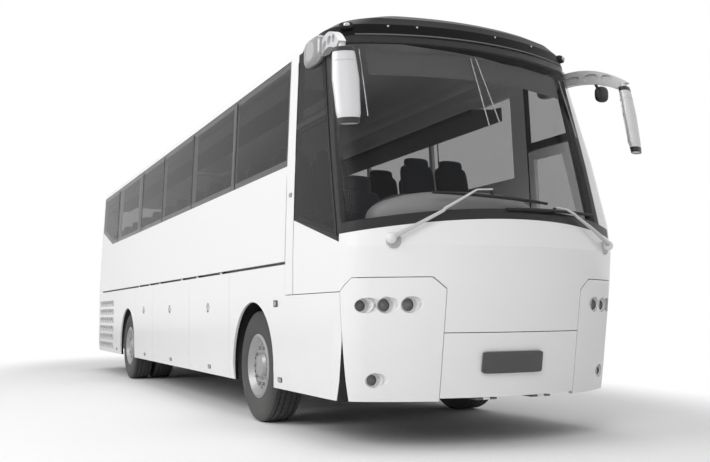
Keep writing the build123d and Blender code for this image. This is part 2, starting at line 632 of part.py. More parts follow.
# The hold: floor and two bulkheads in one folded tray.
hold_line = [
    (HOLD_FRONT_Y, HOLD_FLOOR_Z - PANEL_T), (HOLD_REAR_Y, HOLD_FLOOR_Z - PANEL_T),
    (HOLD_REAR_Y, floor_low - SEAT), (HOLD_REAR_Y - PANEL_T, floor_low - SEAT),
    (HOLD_REAR_Y - PANEL_T, HOLD_FLOOR_Z), (HOLD_FRONT_Y + PANEL_T, HOLD_FLOOR_Z),
    (HOLD_FRONT_Y + PANEL_T, floor_low - SEAT), (HOLD_FRONT_Y, floor_low - SEAT),
]
HOLD_X = INNER_X - 45.0
write("luggage_hold", prism(hold_line, "x", -HOLD_X, HOLD_X))

RAIL_X, RAIL_W, RAIL_H = 370.0, 80.0, 160.0
RAIL_TOP = CAB_FLOOR_Z - FLOOR_T - SEAT
FRAME_FRONT_Y, CROSS = 480.0, 80.0
CARRIER_Z, CARRIER_T = 700.0, 30.0
CARRIER_IN = 330.0


def rails(y0, y1):
    low = RAIL_TOP - RAIL_H
    pair = [box(sx - RAIL_W / 2, sx + RAIL_W / 2, y0, y1, low, RAIL_TOP) for sx in (-RAIL_X, RAIL_X)]
    return pair


def cross(y, z0, z1, reach=RAIL_X + RAIL_W / 2):
    return box(-reach, reach, y, y + CROSS, z0, z1)


front_bits = rails(FRAME_FRONT_Y, HOLD_FRONT_Y - SEAT)
low = RAIL_TOP - RAIL_H
front_bits += [cross(y, low, RAIL_TOP) for y in (FRAME_FRONT_Y, STRIPE_REAR_Y, HOLD_FRONT_Y - CROSS - SEAT)]
front_bits += [cross(FRAME_FRONT_Y, SKIRT_Z, SKIRT_Z + CROSS)]
front_bits += [
    box(sx - RAIL_W / 2, sx + RAIL_W / 2, FRAME_FRONT_Y, FRAME_FRONT_Y + CROSS, SKIRT_Z, RAIL_TOP)
    for sx in (-RAIL_X, RAIL_X)
]
for x in (-FLAP_HINGE_X, FLAP_HINGE_X):
    for side in (-1, 1):
        middle = x + side * (KNUCKLE_L + HINGE_GAP)
        front_bits.append(flap_barrel(middle, FLAP_AXIS_Z - 6, FLAP_AXIS_Z + 6, FRAME_FRONT_Y + 5))
underframe_front = front_bits[0]
for bit in front_bits[1:]:
    underframe_front = underframe_front + bit
LINED = envelope(WALL + SEAT)
carrier = LINED & box(-ARC_X, ARC_X, 0, FRAME_FRONT_Y + CROSS, CARRIER_Z, CARRIER_Z + CARRIER_T)
carrier = carrier - box(-FLAP_HALF - 6, FLAP_HALF + 6, -100, CARRIER_IN, 0, TOP)
underframe_front = underframe_front + carrier
TOW_PIN_R = 20.0
tow_y = FRAME_FRONT_Y + CROSS / 2
tow_pin = rod((0, tow_y, SKIRT_Z - 10), (0, tow_y, SKIRT_Z + CROSS + 10), TOW_PIN_R)
underframe_front = underframe_front - tow_pin
write("underframe_front", underframe_front)

ENGINE_Y, ENGINE_L, ENGINE_X = 9950.0, 1450.0, 320.0
ENGINE_LOW, ENGINE_TOP = 480.0, 1250.0
rear_bits = rails(HOLD_REAR_Y + SEAT, REAR_SPLIT_Y + 40)
rear_ys = (HOLD_REAR_Y + SEAT, REAR_AXLE_Y + 700, REAR_SPLIT_Y - 100)
rear_bits += [cross(y, low, RAIL_TOP) for y in rear_ys]
for y in (ENGINE_Y + 100, ENGINE_Y + ENGINE_L - 200):
    rear_bits.append(cross(y, ENGINE_LOW - 60 - SEAT, ENGINE_LOW - SEAT))
    rear_bits += [
        box(sx - RAIL_W / 2 + 5, sx + RAIL_W / 2 - 5, y, y + CROSS, ENGINE_LOW - 60, low + 10)
        for sx in (-RAIL_X, RAIL_X)
    ]
# Posts carry the saloon floor over the rails.
for y in (HOLD_REAR_Y + 200, REAR_AXLE_Y + 710, REAR_SPLIT_Y - 300):
    rear_bits += [
        box(sx - 30, sx + 30, y, y + 60, RAIL_TOP - 10, floor_low - SEAT) for sx in (-RAIL_X, RAIL_X)
    ]
underframe_rear = rear_bits[0]
for bit in rear_bits[1:]:
    underframe_rear = underframe_rear + bit
write("underframe_rear", underframe_rear)
write("engine", box(-ENGINE_X, ENGINE_X, ENGINE_Y, ENGINE_Y + ENGINE_L, ENGINE_LOW, ENGINE_TOP))

# ---------------------------------------------------------------- wheel housings
FRONT_HOUSE_R = 660.0
HOUSE_IN_X = 560.0


def housing(y, radius):
    """A half-round liner over one wheel, open below and to the outside."""
    big, small = radius + LINER, radius

    def at(r, turn):
        return Vector(HOUSE_IN_X, y + r * math.cos(turn), ARCH_Z + r * math.sin(turn))

    outline = [
        Edge.make_three_point_arc(at(big, 0), at(big, math.pi / 2), at(big, math.pi)),
        Edge.make_line(at(big, math.pi), at(small, math.pi)),
        Edge.make_three_point_arc(at(small, math.pi), at(small, math.pi / 2), at(small, 0)),
        Edge.make_line(at(small, 0), at(big, 0)),
    ]
    return Solid.extrude(Face(Wire(outline)), Vector(INNER_X - HOUSE_IN_X, 0, 0))


housings = [housing(FRONT_AXLE_Y, FRONT_HOUSE_R), housing(REAR_AXLE_Y, ARCH_R)]
write("wheel_housings", housings + [other_side(h) for h in housings])

# ---------------------------------------------------------------- wheels and axles
FRONT_X = HALF - FRONT_TRACK_IN - TYRE_W / 2
REAR_OUT_X = HALF - REAR_TRACK_IN - TYRE_W / 2
REAR_IN_X = REAR_OUT_X - TWIN_PITCH
BEAD_HALF = 120.0
BEAD_CLEAR = 5.0
HALF_W = TYRE_W / 2
SHOULDER = 20.0
BORE_R = RIM_LIP_R - 8.0
WALL_FLARE = 55.0


def tyre(x, y):
    """A tyre turned about its axle: bore, flared beads, flat walls, bevelled shoulders and tread."""
    profile = [
        (BORE_R, -BEAD_HALF), (BORE_R + WALL_FLARE, -HALF_W), (TYRE_R - SHOULDER, -HALF_W),
        (TYRE_R, -HALF_W + SHOULDER), (TYRE_R, HALF_W - SHOULDER), (TYRE_R - SHOULDER, HALF_W),
        (BORE_R + WALL_FLARE, HALF_W), (BORE_R, BEAD_HALF),
    ]
    return turned(profile, x).moved(Location((0, y, TYRE_R)))


LIP_T = 10.0
BARREL_T = 16.0


def rim(x, y, disc_from, disc_to, hub):
    """Rim barrel with lips outside the beads, a flat disc and a hub bore."""
    seat_r = BORE_R - SEAT
    inner_r = seat_r - BARREL_T
    lip = BEAD_HALF + BEAD_CLEAR
    profile = [
        (seat_r, -lip), (RIM_LIP_R, -lip), (RIM_LIP_R, -lip - LIP_T), (inner_r, -lip - LIP_T),
        (inner_r, disc_from), (hub, disc_from), (hub, disc_to), (inner_r, disc_to),
        (inner_r, lip + LIP_T), (RIM_LIP_R, lip + LIP_T), (RIM_LIP_R, lip), (seat_r, lip),
    ]
    return turned(profile, x).moved(Location((0, y, TYRE_R)))


# Wheel trim, from the rim's lip to its middle. Columns: radius, how far out of the wheel's centre plane.
TRIM_T = 5.0
TRIM_LINE = [
    (RIM_LIP_R, 134.0), (276.0, 146.0), (226.0, 96.0), (120.0, 96.0), (96.0, 122.0), (0.0, 130.0),
]


def trim(x, y):
    """A closed wheel trim: bright rolled edge, sloped ring, flat dish and a raised middle."""
    back = [(r, out - TRIM_T) for r, out in reversed(TRIM_LINE)]
    back[-1] = (RIM_LIP_R, BEAD_HALF + BEAD_CLEAR + LIP_T / 2)
    return turned(TRIM_LINE + back, x).moved(Location((0, y, TYRE_R)))


STUB_FIT = 1.0
front_tyre = tyre(FRONT_X, FRONT_AXLE_Y)
DISC_IN, DISC_OUT = 20.0, 40.0
front_rim = rim(FRONT_X, FRONT_AXLE_Y, DISC_IN, DISC_OUT, STUB_R + STUB_FIT)
front_rim = front_rim + trim(FRONT_X, FRONT_AXLE_Y)
write("front_tyre_left", front_tyre)
write("front_tyre_right", other_side(front_tyre))
write("front_rim_left", front_rim)
write("front_rim_right", other_side(front_rim))

twin_gap_x = (REAR_OUT_X + REAR_IN_X) / 2
outer_rim = rim(REAR_OUT_X, REAR_AXLE_Y, twin_gap_x - REAR_OUT_X - 20, twin_gap_x - REAR_OUT_X, HUB_R)
INNER_DISC_IN = 60.0
inner_rim = rim(REAR_IN_X, REAR_AXLE_Y, INNER_DISC_IN, INNER_DISC_IN + 20, HUB_R)
hub_in_x = REAR_IN_X + INNER_DISC_IN
hub_line = [
    (STUB_R + STUB_FIT, hub_in_x), (HUB_R + 5, hub_in_x), (HUB_R + 5, REAR_OUT_X + 20),
    (HUB_R - 20, REAR_OUT_X + 60), (STUB_R + STUB_FIT, REAR_OUT_X + 60),
]
hub = turned(hub_line, 0.0).moved(Location((0, REAR_AXLE_Y, TYRE_R)))
rear_rims = (outer_rim + inner_rim + hub) + trim(REAR_OUT_X, REAR_AXLE_Y)
write("rear_rims_left", rear_rims)
write("rear_rims_right", other_side(rear_rims))
rear_tyres = [tyre(REAR_OUT_X, REAR_AXLE_Y), tyre(REAR_IN_X, REAR_AXLE_Y)]
write("rear_tyres_left", rear_tyres)
write("rear_tyres_right", [other_side(t) for t in rear_tyres])

KINGPIN_X = FRONT_X - 190.0
EYE_R, EYE_H, PIN_R = 45.0, 60.0, 20.0
beam_low = TYRE_R - EYE_H
eye_top = TYRE_R + EYE_H
front_axle = box(-KINGPIN_X, KINGPIN_X, FRONT_AXLE_Y - 35, FRONT_AXLE_Y + 35, beam_low + 10, TYRE_R + 30)
for side in (-1, 1):
    eye_x = side * KINGPIN_X
    front_axle = front_axle + rod((eye_x, FRONT_AXLE_Y, beam_low), (eye_x, FRONT_AXLE_Y, eye_top), EYE_R)
    bore = rod((eye_x, FRONT_AXLE_Y, beam_low - 5), (eye_x, FRONT_AXLE_Y, eye_top + 5), PIN_R + 0.5)
    front_axle = front_axle - bore
write("front_axle", front_axle)

ARM_BACK, TRACK_Z = 170.0, 400.0
kx, ky = KINGPIN_X, FRONT_AXLE_Y
JAW = 30.0
top_z, foot_z = TYRE_R + EYE_H + HINGE_GAP, beam_low - HINGE_GAP
knuckle_left = rod((kx, ky, foot_z - JAW), (kx, ky, top_z + JAW), PIN_R)
for z0, z1 in ((top_z, top_z + JAW), (foot_z - JAW, foot_z)):
    knuckle_left = knuckle_left + rod((kx, ky, z0), (kx, ky, z1), EYE_R)
    knuckle_left = knuckle_left + box(kx, kx + 95, ky - EYE_R, ky + EYE_R, z0, z1)
knuckle_left = knuckle_left + box(kx + 60, kx + 95, ky - EYE_R, ky + EYE_R, foot_z - JAW, top_z + JAW)
knuckle_left = knuckle_left + rod((kx + 90, ky, TYRE_R), (FRONT_X + DISC_OUT + 20, ky, TYRE_R), STUB_R)
arm_low = foot_z - JAW
knuckle_left = knuckle_left + box(kx - 20, kx + 20, ky, ky + ARM_BACK, arm_low, foot_z)
BALL_R = 16.0
ball = rod((kx, ky + ARM_BACK, TRACK_Z - 15), (kx, ky + ARM_BACK, foot_z), BALL_R)
write("knuckle_left", knuckle_left + ball)
write("knuckle_right", other_side(knuckle_left + ball))
EYE_CLEAR = 0.5
rod_y = ky + ARM_BACK
track_rod = rod((-kx, rod_y, TRACK_Z), (kx, rod_y, TRACK_Z), 14.0)
for side in (-1, 1):
    end_x = side * kx
    track_rod = track_rod + rod((end_x, rod_y, TRACK_Z - 15), (end_x, rod_y, TRACK_Z + 15), BALL_R + 14)
    socket = rod((end_x, rod_y, TRACK_Z - 30), (end_x, rod_y, TRACK_Z + 30), BALL_R + EYE_CLEAR)
    track_rod = track_rod - socket
write("track_rod", track_rod)

ra = REAR_AXLE_Y
tube_end = hub_in_x - HINGE_CLEAR
rear_axle = rod((-tube_end, ra, TYRE_R), (tube_end, ra, TYRE_R), 75.0)
rear_axle = rear_axle + rod((-(REAR_OUT_X + 40), ra, TYRE_R), (REAR_OUT_X + 40, ra, TYRE_R), STUB_R)
DIFF_R = 190.0
diff_line = [(0, -240), (70, -240), (DIFF_R, -90), (DIFF_R, 90), (70, 240), (0, 240)]
rear_axle = rear_axle + turned(diff_line, 0.0).moved(Location((0, ra, TYRE_R)))
write("rear_axle", rear_axle)
SPRING_R = 105.0
springs = []
for side in (-1, 1):
    x = side * RAIL_X
    springs.append(rod((x, ky, TYRE_R + 30 + SEAT), (x, ky, low - SEAT), SPRING_R))
    springs.append(rod((x, ra, TYRE_R + 75 + SEAT), (x, ra, low - SEAT), SPRING_R))
write("air_springs", springs)

# ---------------------------------------------------------------- interior
DASH_Z = 1380.0
dash_line = [(0, DASH_Z), (900, DASH_Z), (930, 1500), (850, 1600), (500, 1645), (0, 1600)]
dash = LINED & prism(dash_line, "x", -ARC_X, ARC_X)
dash = dash - box(STAIR_X, ARC_X, 650, 1200, 0, TOP)
dash = dash + box(-700, 700, 500, 540, CAB_FLOOR_Z + SEAT, DASH_Z + 10)
write("dashboard", dash)
DRIVER_X = -620.0
wheel_mid = Vector(DRIVER_X, 900, 1840)
tilt = Vector(0, 0.45, 0.89)
WHEEL_R, GRIP = 225.0, 16.0
grip_line = [
    Vector(WHEEL_R + GRIP * math.cos(turn), 0, GRIP * math.sin(turn))
    for turn in [math.pi / 3 * i for i in range(6)]
]
ring = Solid.revolve(Face(Wire.make_polygon(grip_line, close=True)), 360, Axis.Z)
ring = ring.moved(Plane(origin=wheel_mid, z_dir=tilt).location)
ring = ring + rod((DRIVER_X, 760, 1560), tuple(wheel_mid), 28.0)
ring = ring + rod((DRIVER_X - WHEEL_R, 900, 1840), (DRIVER_X + WHEEL_R, 900, 1840), 12.0)
write("steering_wheel", ring)
SEAT_PROFILE = [
    (-450, 370), (-450, 450), (-30, 450), (110, 1100), (130, 1140), (200, 1140), (215, 1100),
    (80, 370), (-100, 370), (-100, 0), (-350, 0), (-350, 370),
]


def seat(x0, x1, y, floor):
    return prism([(y + p[0], floor + SEAT + p[1]) for p in SEAT_PROFILE], "x", x0, x1)


DRIVER_SEAT_Y, DRIVER_HALF = 1500.0, 240.0
write("driver_seat", seat(DRIVER_X - DRIVER_HALF, DRIVER_X + DRIVER_HALF, DRIVER_SEAT_Y, CAB_FLOOR_Z))
SEAT_ROWS, SEAT_PITCH, FIRST_ROW_Y = 12, 800.0, 2350.0
rows = [FIRST_ROW_Y + i * SEAT_PITCH for i in range(SEAT_ROWS)]
write("passenger_seats", [
    seat(*sorted((side * 290, side * 1135)), y, SALOON_FLOOR_Z) for y in rows for side in (-1, 1)
])
rack_line = [(800, 3010), (1300, 2960), (1300, 3150), (1050, 3080), (800, 3060)]
rack = LINED & prism(rack_line, "y", 1900, REAR_SPLIT_Y - 200)
write("luggage_racks", [rack, other_side(rack)])

# ---------------------------------------------------------------- mirrors and wipers
ARM_ROOT = (1190.0, 1075.0)
ARM_BEND = (1372.0, 300.0)
ARM_T = 58.0
POCKET_DEEP = 20.0
# Arm seen from its flat side, in distance from the root and height. Outer edge then inner edge, each
# as start, point on the arc and end.
ARM_TOP = [(0.0, 3196.0), (430.0, 3176.0), (786.0, 2990.0)]
ARM_UNDER = [(676.0, 2956.0), (400.0, 3062.0), (0.0, 3076.0)]
# Oval pockets on both faces of the arm. Columns: distance from the root, height, half length, half
# height, slope.
ARM_POCKETS = [
    (215.0, 3128.0, 88.0, 36.0, 1.0), (420.0, 3112.0, 82.0, 35.0, -9.0), (590.0, 3070.0, 60.0, 30.0, -24.0),
]

arm_way = (Vector(*ARM_BEND) - Vector(*ARM_ROOT)).normalized()
arm_plane = Plane(origin=(*ARM_ROOT, 0), x_dir=arm_way, z_dir=arm_way.cross(Vector(0, 0, 1)))


def on_arm(points):
    return [arm_plane.from_local_coords(Vector(along, height, 0)) for along, height in points]


top, under = on_arm(ARM_TOP), on_arm(ARM_UNDER)
arm_face = Face(Wire([
    Edge.make_three_point_arc(*top), Edge.make_line(top[2], under[0]),
    Edge.make_three_point_arc(*under), Edge.make_line(under[2], top[0]),
]))
across = arm_plane.z_dir * (ARM_T / 2)
mirror_arm = Solid.extrude(arm_face, across * 2).moved(Location(across * -1))
for along, height, half_l, half_h, slope in ARM_POCKETS:
    oval = Face(Wire.make_ellipse(half_l, half_h)).rotate(Axis.Z, slope).moved(Location((along, height, 0)))
    for face_at in (ARM_T / 2 - POCKET_DEEP, -ARM_T / 2 - 1):
        pocket = Solid.extrude(oval.moved(Location((0, 0, face_at))), Vector(0, 0, POCKET_DEEP + 1))
        mirror_arm = mirror_arm - pocket.moved(arm_plane.location)

# Mirror housing from its joint ring down. Columns: centre x, centre y, height, half width, half depth.
HOUSING_SECTIONS = [
    (1349.0, 336.0, 2945.0, 76.0, 42.0),
    (1351.0, 325.0, 2890.0, 88.0, 48.0),
    (1353.0, 290.0, 2700.0, 101.0, 54.0),
    (1354.0, 245.0, 2440.0, 90.0, 48.0),
    (1355.0, 230.0, 2360.0, 74.0, 38.0),
]
HOUSING_TURN = math.radians(35.0)
ROUNDNESS = 0.72


def housing_section(x, y, z, half_w, half_d):
    """A long oval of four arcs, turned to face the driver's place."""
    width = Vector(math.cos(HOUSING_TURN), math.sin(HOUSING_TURN), 0)
    depth = Vector(math.sin(HOUSING_TURN), -math.cos(HOUSING_TURN), 0)

    def at(w, d):
        return Vector(x, y, z) + width * (w * half_w) + depth * (d * half_d)

    k = ROUNDNESS
    around = [
        at(k, k), at(0, 1), at(-k, k), at(-1, 0), at(-k, -k), at(0, -1), at(k, -k), at(1, 0), at(k, k),
    ]
    return Wire([Edge.make_three_point_arc(*around[i:i + 3]) for i in (0, 2, 4, 6)])


# A round joint under the arm's end carries the housing.
JOINT_X, JOINT_Y, JOINT_LOW, JOINT_TOP, JOINT_R = 1353.0, 350.0, 2925.0, 3000.0, 27.0
mirror = mirror_arm + rod((JOINT_X, JOINT_Y, JOINT_LOW), (JOINT_X, JOINT_Y, JOINT_TOP), JOINT_R)
mirror = mirror + Solid.make_loft([housing_section(*row) for row in HOUSING_SECTIONS], ruled=True)
mirror = mirror - OUTER
write("mirrors", [mirror, other_side(mirror)])

WIPER_R = 12.0
SCREEN_PLAN_R, SCREEN_NOSE_Y = 2000.0, 62.0
SCREEN_PLAN_Y = SCREEN_NOSE_Y + SCREEN_PLAN_R
# Section of a wiper blade: how far ahead of the screen, half height.
BLADE_SECTION = [(8.0, 14.0), (34.0, 5.0)]


def blade(x0, x1, z):
    """A blade that follows the screen's plan curve, made by turning its section."""
    a0, a1 = math.asin(x0 / SCREEN_PLAN_R), math.asin(x1 / SCREEN_PLAN_R)
    (root, root_h), (tip, tip_h) = BLADE_SECTION
    sect = Face(Wire.make_polygon(
        [
            Vector(0, SCREEN_NOSE_Y - root, z - root_h), Vector(0, SCREEN_NOSE_Y - root, z + root_h),
            Vector(0, SCREEN_NOSE_Y - tip, z + tip_h), Vector(0, SCREEN_NOSE_Y - tip, z - tip_h),
        ],
        close=True,
    ))
    turning = Axis((0, SCREEN_PLAN_Y, 0), (0, 0, 1))
    return Solid.revolve(sect, math.degrees(a1 - a0), turning).rotate(turning, math.degrees(a0))


WIPER_PIVOT = (985.0, 297.0, 1549.0)
PIVOT_R, PIVOT_HALF = 30.0, 60.0
ARM_AHEAD = 30.0


def wiper(side, x0, x1, z, reach):
    """One wiper: its boss on the front panel, its arm and its blade."""
    x, y, height = side * WIPER_PIVOT[0], *WIPER_PIVOT[1:]
    boss = rod((x, y - PIVOT_HALF, height), (x, y + PIVOT_HALF, height), PIVOT_R)
    end = (reach, SCREEN_PLAN_Y - math.sqrt(SCREEN_PLAN_R**2 - reach**2) - ARM_AHEAD, z)
    return boss + rod((x, y - PIVOT_HALF + 10, height), end, WIPER_R) + blade(x0, x1, z)


right_wiper = wiper(-1, -751, 276, 1862, -258)
left_wiper = wiper(1, -150, 830, 1790, 300)
write("wipers", [right_wiper - OUTER, left_wiper - OUTER])
REAR_LAMP_ZS = (700.0, 860.0, 1020.0)
REAR_LAMP_X, REAR_LAMP_R = 1010.0, 62.0
REAR_LAMP_FROM, REAR_LAMP_TO = LENGTH - 140.0, LENGTH - 15.0
write("rear_lamps", [
    rod((side * REAR_LAMP_X, REAR_LAMP_FROM, z), (side * REAR_LAMP_X, REAR_LAMP_TO, z), REAR_LAMP_R) - OUTER
    for z in REAR_LAMP_ZS for side in (-1, 1)
])
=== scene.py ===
import math

import bmesh
import bpy
import numpy as np
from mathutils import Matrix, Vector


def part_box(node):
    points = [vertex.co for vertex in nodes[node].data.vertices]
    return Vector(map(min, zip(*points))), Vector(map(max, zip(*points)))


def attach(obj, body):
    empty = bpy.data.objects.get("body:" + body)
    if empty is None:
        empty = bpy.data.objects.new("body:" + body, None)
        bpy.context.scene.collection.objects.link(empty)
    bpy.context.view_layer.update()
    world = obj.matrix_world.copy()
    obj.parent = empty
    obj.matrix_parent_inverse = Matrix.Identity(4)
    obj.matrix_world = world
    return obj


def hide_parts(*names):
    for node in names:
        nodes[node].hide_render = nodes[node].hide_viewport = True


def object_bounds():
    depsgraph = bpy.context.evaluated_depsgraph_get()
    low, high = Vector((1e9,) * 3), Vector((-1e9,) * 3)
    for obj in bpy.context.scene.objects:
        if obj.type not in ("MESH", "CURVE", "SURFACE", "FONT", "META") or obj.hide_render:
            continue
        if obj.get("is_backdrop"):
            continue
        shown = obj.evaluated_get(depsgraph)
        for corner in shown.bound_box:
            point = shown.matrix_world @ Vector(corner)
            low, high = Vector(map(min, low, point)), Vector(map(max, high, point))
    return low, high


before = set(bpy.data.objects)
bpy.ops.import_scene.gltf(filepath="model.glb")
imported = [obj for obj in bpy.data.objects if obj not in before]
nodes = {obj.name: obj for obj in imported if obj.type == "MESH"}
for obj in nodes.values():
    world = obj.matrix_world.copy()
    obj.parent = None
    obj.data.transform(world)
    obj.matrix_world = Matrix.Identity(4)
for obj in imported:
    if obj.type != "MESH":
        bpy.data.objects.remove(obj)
cad_low, cad_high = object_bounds()
NOSE_Y = cad_low.y

# ---------------------------------------------------------------- camera
# The camera stands low by the kerb ahead of the coach's right front corner and looks back along its
# side. Its frame is 710 pixels wide, which sets the lens from the focal length in those pixels.
CAMERA_PLACE = (-3.8785, -11.0903, 1.0047)
CAMERA_YAW, CAMERA_PITCH, CAMERA_ROLL = 0.44893, 0.09868, -0.00727
FRAME_WIDTH, FOCAL_PIXELS, SENSOR_MM, FARTHEST = 710, 839.37, 36.0, 200.0


def placed(across, up, back, at):
    """A matrix from three axes and a place, for a camera or a lamp that looks down its third axis."""
    matrix = np.eye(4)
    matrix[:3, 0], matrix[:3, 1], matrix[:3, 2], matrix[:3, 3] = across, up, back, at
    return matrix.T.tolist()


view_way = np.array([
    math.sin(CAMERA_YAW) * math.cos(CAMERA_PITCH),
    math.cos(CAMERA_YAW) * math.cos(CAMERA_PITCH),
    math.sin(CAMERA_PITCH),
])
level = np.array([math.cos(CAMERA_YAW), -math.sin(CAMERA_YAW), 0.0])
rise = np.cross(level, view_way)
camera_data = bpy.data.cameras.new("camera")
camera_data.sensor_width = SENSOR_MM
camera_data.lens = FOCAL_PIXELS * SENSOR_MM / FRAME_WIDTH
camera_data.clip_end = FARTHEST
camera = bpy.data.objects.new("camera", camera_data)
camera.matrix_world = placed(
    level * math.cos(CAMERA_ROLL) + rise * math.sin(CAMERA_ROLL),
    rise * math.cos(CAMERA_ROLL) - level * math.sin(CAMERA_ROLL),
    -view_way, CAMERA_PLACE,
)
bpy.context.scene.collection.objects.link(camera)
bpy.context.scene.camera = camera
bpy.context.scene.view_settings.view_transform = "Standard"

# ---------------------------------------------------------------- floor and light
# A pale studio floor that runs out into plain white, a soft white room all round, and wide lamps
# over the front corner, the side and the roof. The floor keeps the coach's shadow.
FLOOR_HALF, FLOOR_COLOUR, WHITE = 60.0, (0.93, 0.93, 0.93, 1), (1, 1, 1, 1)
FADE_SCALE, FADE_FROM, FADE_TO = (1 / 3.4, 1 / 8.0, 0.0), 0.95, 1.45
ROOM_LEVEL = 0.50
LAMPS = [
    # name, place, aims at, width, power, whether gloss mirrors it
    ("front_lamp", (-9.0, -14.0, 9.0), (0.0, -5.0, 1.5), 8.0, 650.0, False),
    ("side_lamp", (-15.0, -2.0, 10.0), (-1.0, 0.0, 1.5), 11.0, 900.0, True),
    ("top_lamp", (0.0, 0.0, 14.0), (0.0, 0.0, 0.0), 12.0, 400.0, True),
]


def fill(tree, node, inputs):
    """Sets a node's inputs from fixed values or source sockets."""
    for label, value in inputs.items():
        if isinstance(value, bpy.types.NodeSocket):
            tree.links.new(value, node.inputs[label])
        else:
            node.inputs[label].default_value = value


def part_of(tree, kind, inputs=None, **settings):
    """A shader node of one kind, with its settings and inputs."""
    made = tree.nodes.new("ShaderNode" + kind)
    for label, value in settings.items():
        setattr(made, label, value)
    fill(tree, made, inputs or {})
    return made


def maths(tree, operation, *values, **settings):
    """The result of a Math node on values or source sockets."""
    return part_of(tree, "Math", dict(enumerate(values)), operation=operation, **settings).outputs[0]


def new_material(name):
    """A new material, its node tree and its shader."""
    made = bpy.data.materials.new(name)
    made.use_nodes = True
    return made, made.node_tree, made.node_tree.nodes["Principled BSDF"]


def lit_and_shown(tree, share, lit, shown, ending):
    """Ends a tree in one shader that gives way to another by a share."""
    mixed = part_of(tree, "MixShader", {0: share, 1: lit.outputs[0], 2: shown.outputs[0]})
    tree.links.new(mixed.outputs[0], tree.nodes[ending].inputs["Surface"])


floor_mesh = bpy.data.meshes.new("floor")
corners = np.array([(-1, -1, 0), (1, -1, 0), (1, 1, 0), (-1, 1, 0)], float) * FLOOR_HALF
floor_mesh.from_pydata(corners.tolist(), [], [(0, 1, 2, 3)])
floor = bpy.data.objects.new("floor", floor_mesh)
bpy.context.scene.collection.objects.link(floor)
floor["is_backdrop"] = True
floor_paint, tree, matt = new_material("studio_floor")
fill(tree, matt, {"Base Color": FLOOR_COLOUR, "Roughness": 0.9, "Specular IOR Level": 0.0})
place = part_of(tree, "TexCoord").outputs["Object"]
scaled = part_of(tree, "VectorMath", {0: place, 1: FADE_SCALE}, operation="MULTIPLY")
reach = part_of(tree, "VectorMath", {0: scaled.outputs[0]}, operation="LENGTH")
fade = part_of(
    tree, "MapRange", {"Value": reach.outputs["Value"], "From Min": FADE_FROM, "From Max": FADE_TO},
    interpolation_type="SMOOTHSTEP",
)
rays = part_of(tree, "LightPath").outputs
seen = maths(tree, "MAXIMUM", rays["Is Camera Ray"], rays["Is Transmission Ray"])
white_out = maths(tree, "MULTIPLY", fade.outputs["Result"], seen)
glow = part_of(tree, "Emission", {"Color": WHITE, "Strength": 1.0})
lit_and_shown(tree, white_out, matt, glow, "Material Output")
floor_mesh.materials.append(floor_paint)

room = bpy.data.worlds.new("room")
room.use_nodes = True
bpy.context.scene.world = room
tree = room.node_tree
lit = tree.nodes["Background"]
fill(tree, lit, {"Color": WHITE, "Strength": ROOM_LEVEL})
shown = part_of(tree, "Background", {"Color": WHITE, "Strength": 1.0})
rays = part_of(tree, "LightPath").outputs
seen = maths(tree, "MAXIMUM", rays["Is Camera Ray"], rays["Is Glossy Ray"])
seen = maths(tree, "MAXIMUM", seen, rays["Is Transmission Ray"])
lit_and_shown(tree, seen, lit, shown, "World Output")

for name, at, aim, width, power, mirrored in LAMPS:
    lamp_data = bpy.data.lights.new(name, "AREA")
    lamp_data.shape, lamp_data.size, lamp_data.energy = "DISK", width, power
    lamp = bpy.data.objects.new(name, lamp_data)
    away = np.array(at) - np.array(aim)
    away /= np.linalg.norm(away)
    across = np.cross((0.0, 1.0, 0.0) if abs(away[2]) > 0.9 else (0.0, 0.0, 1.0), away)
    across /= np.linalg.norm(across)
    lamp.matrix_world = placed(across, np.cross(away, across), away, at)
    lamp.visible_glossy = mirrored
    bpy.context.scene.collection.objects.link(lamp)

# ---------------------------------------------------------------- painted body panels
# Pressed and moulded panels in white enamel under a clear coat. A faint film of road dust lies along
# the sills, and the lacquer has a slight orange peel.
PAINT, DUST = (0.80, 0.80, 0.80, 1), (0.45, 0.44, 0.42, 1)
PANELS = [
    "front_panel", "lamp_panels", "front_flap", "roof_shell", "rear_upper_panel", "rear_lower_panel",
    "engine_lid", "roof_hatch_front", "roof_hatch_rear", "entrance_door",
]
SIDES = (("left", 1), ("right", -1))
LOWER_PANELS = ["skirts"] + [f"locker_door_{number}_{side}" for number in (1, 2, 3) for side, _ in SIDES]
# Black for the real black paint round the cab's windows, and for painted shade on the skirts' inner faces.
BLACK_PAINT_AND_SHADE = (0.012, 0.012, 0.012, 1)
GLOSS_LOST = 0.8
CAB_WINDOW_Y, SILL_SLOPE, SILL_RISE = -4.472, 0.277, 3.040
SKIN_X = 1.252


def group(name, inputs, outputs):
    """An empty shader node group with named sockets, and its two end nodes."""
    made = bpy.data.node_groups.new(name, "ShaderNodeTree")
    for label, kind, value in inputs:
        socket = made.interface.new_socket(label, in_out="INPUT", socket_type="NodeSocket" + kind)
        socket.default_value = value
    for label, kind in outputs:
        made.interface.new_socket(label, in_out="OUTPUT", socket_type="NodeSocket" + kind)
    return made, made.nodes.new("NodeGroupInput").outputs, made.nodes.new("NodeGroupOutput")


def placed_group(tree, shared, values):
    """One use of a shared node group in a material, with its own values."""
    used = tree.nodes.new("ShaderNodeGroup")
    used.node_tree = shared
    fill(tree, used, values)
    return used


def blend(tree, share, first, second):
    """Two colours mixed by a share."""
    return part_of(tree, "Mix", {0: share, 6: first, 7: second}, data_type="RGBA").outputs[2]


def noise(tree, place, scale, detail):
    """The level of a noise texture."""
    return part_of(tree, "TexNoise", {"Vector": place, "Scale": scale, "Detail": detail}).outputs[0]


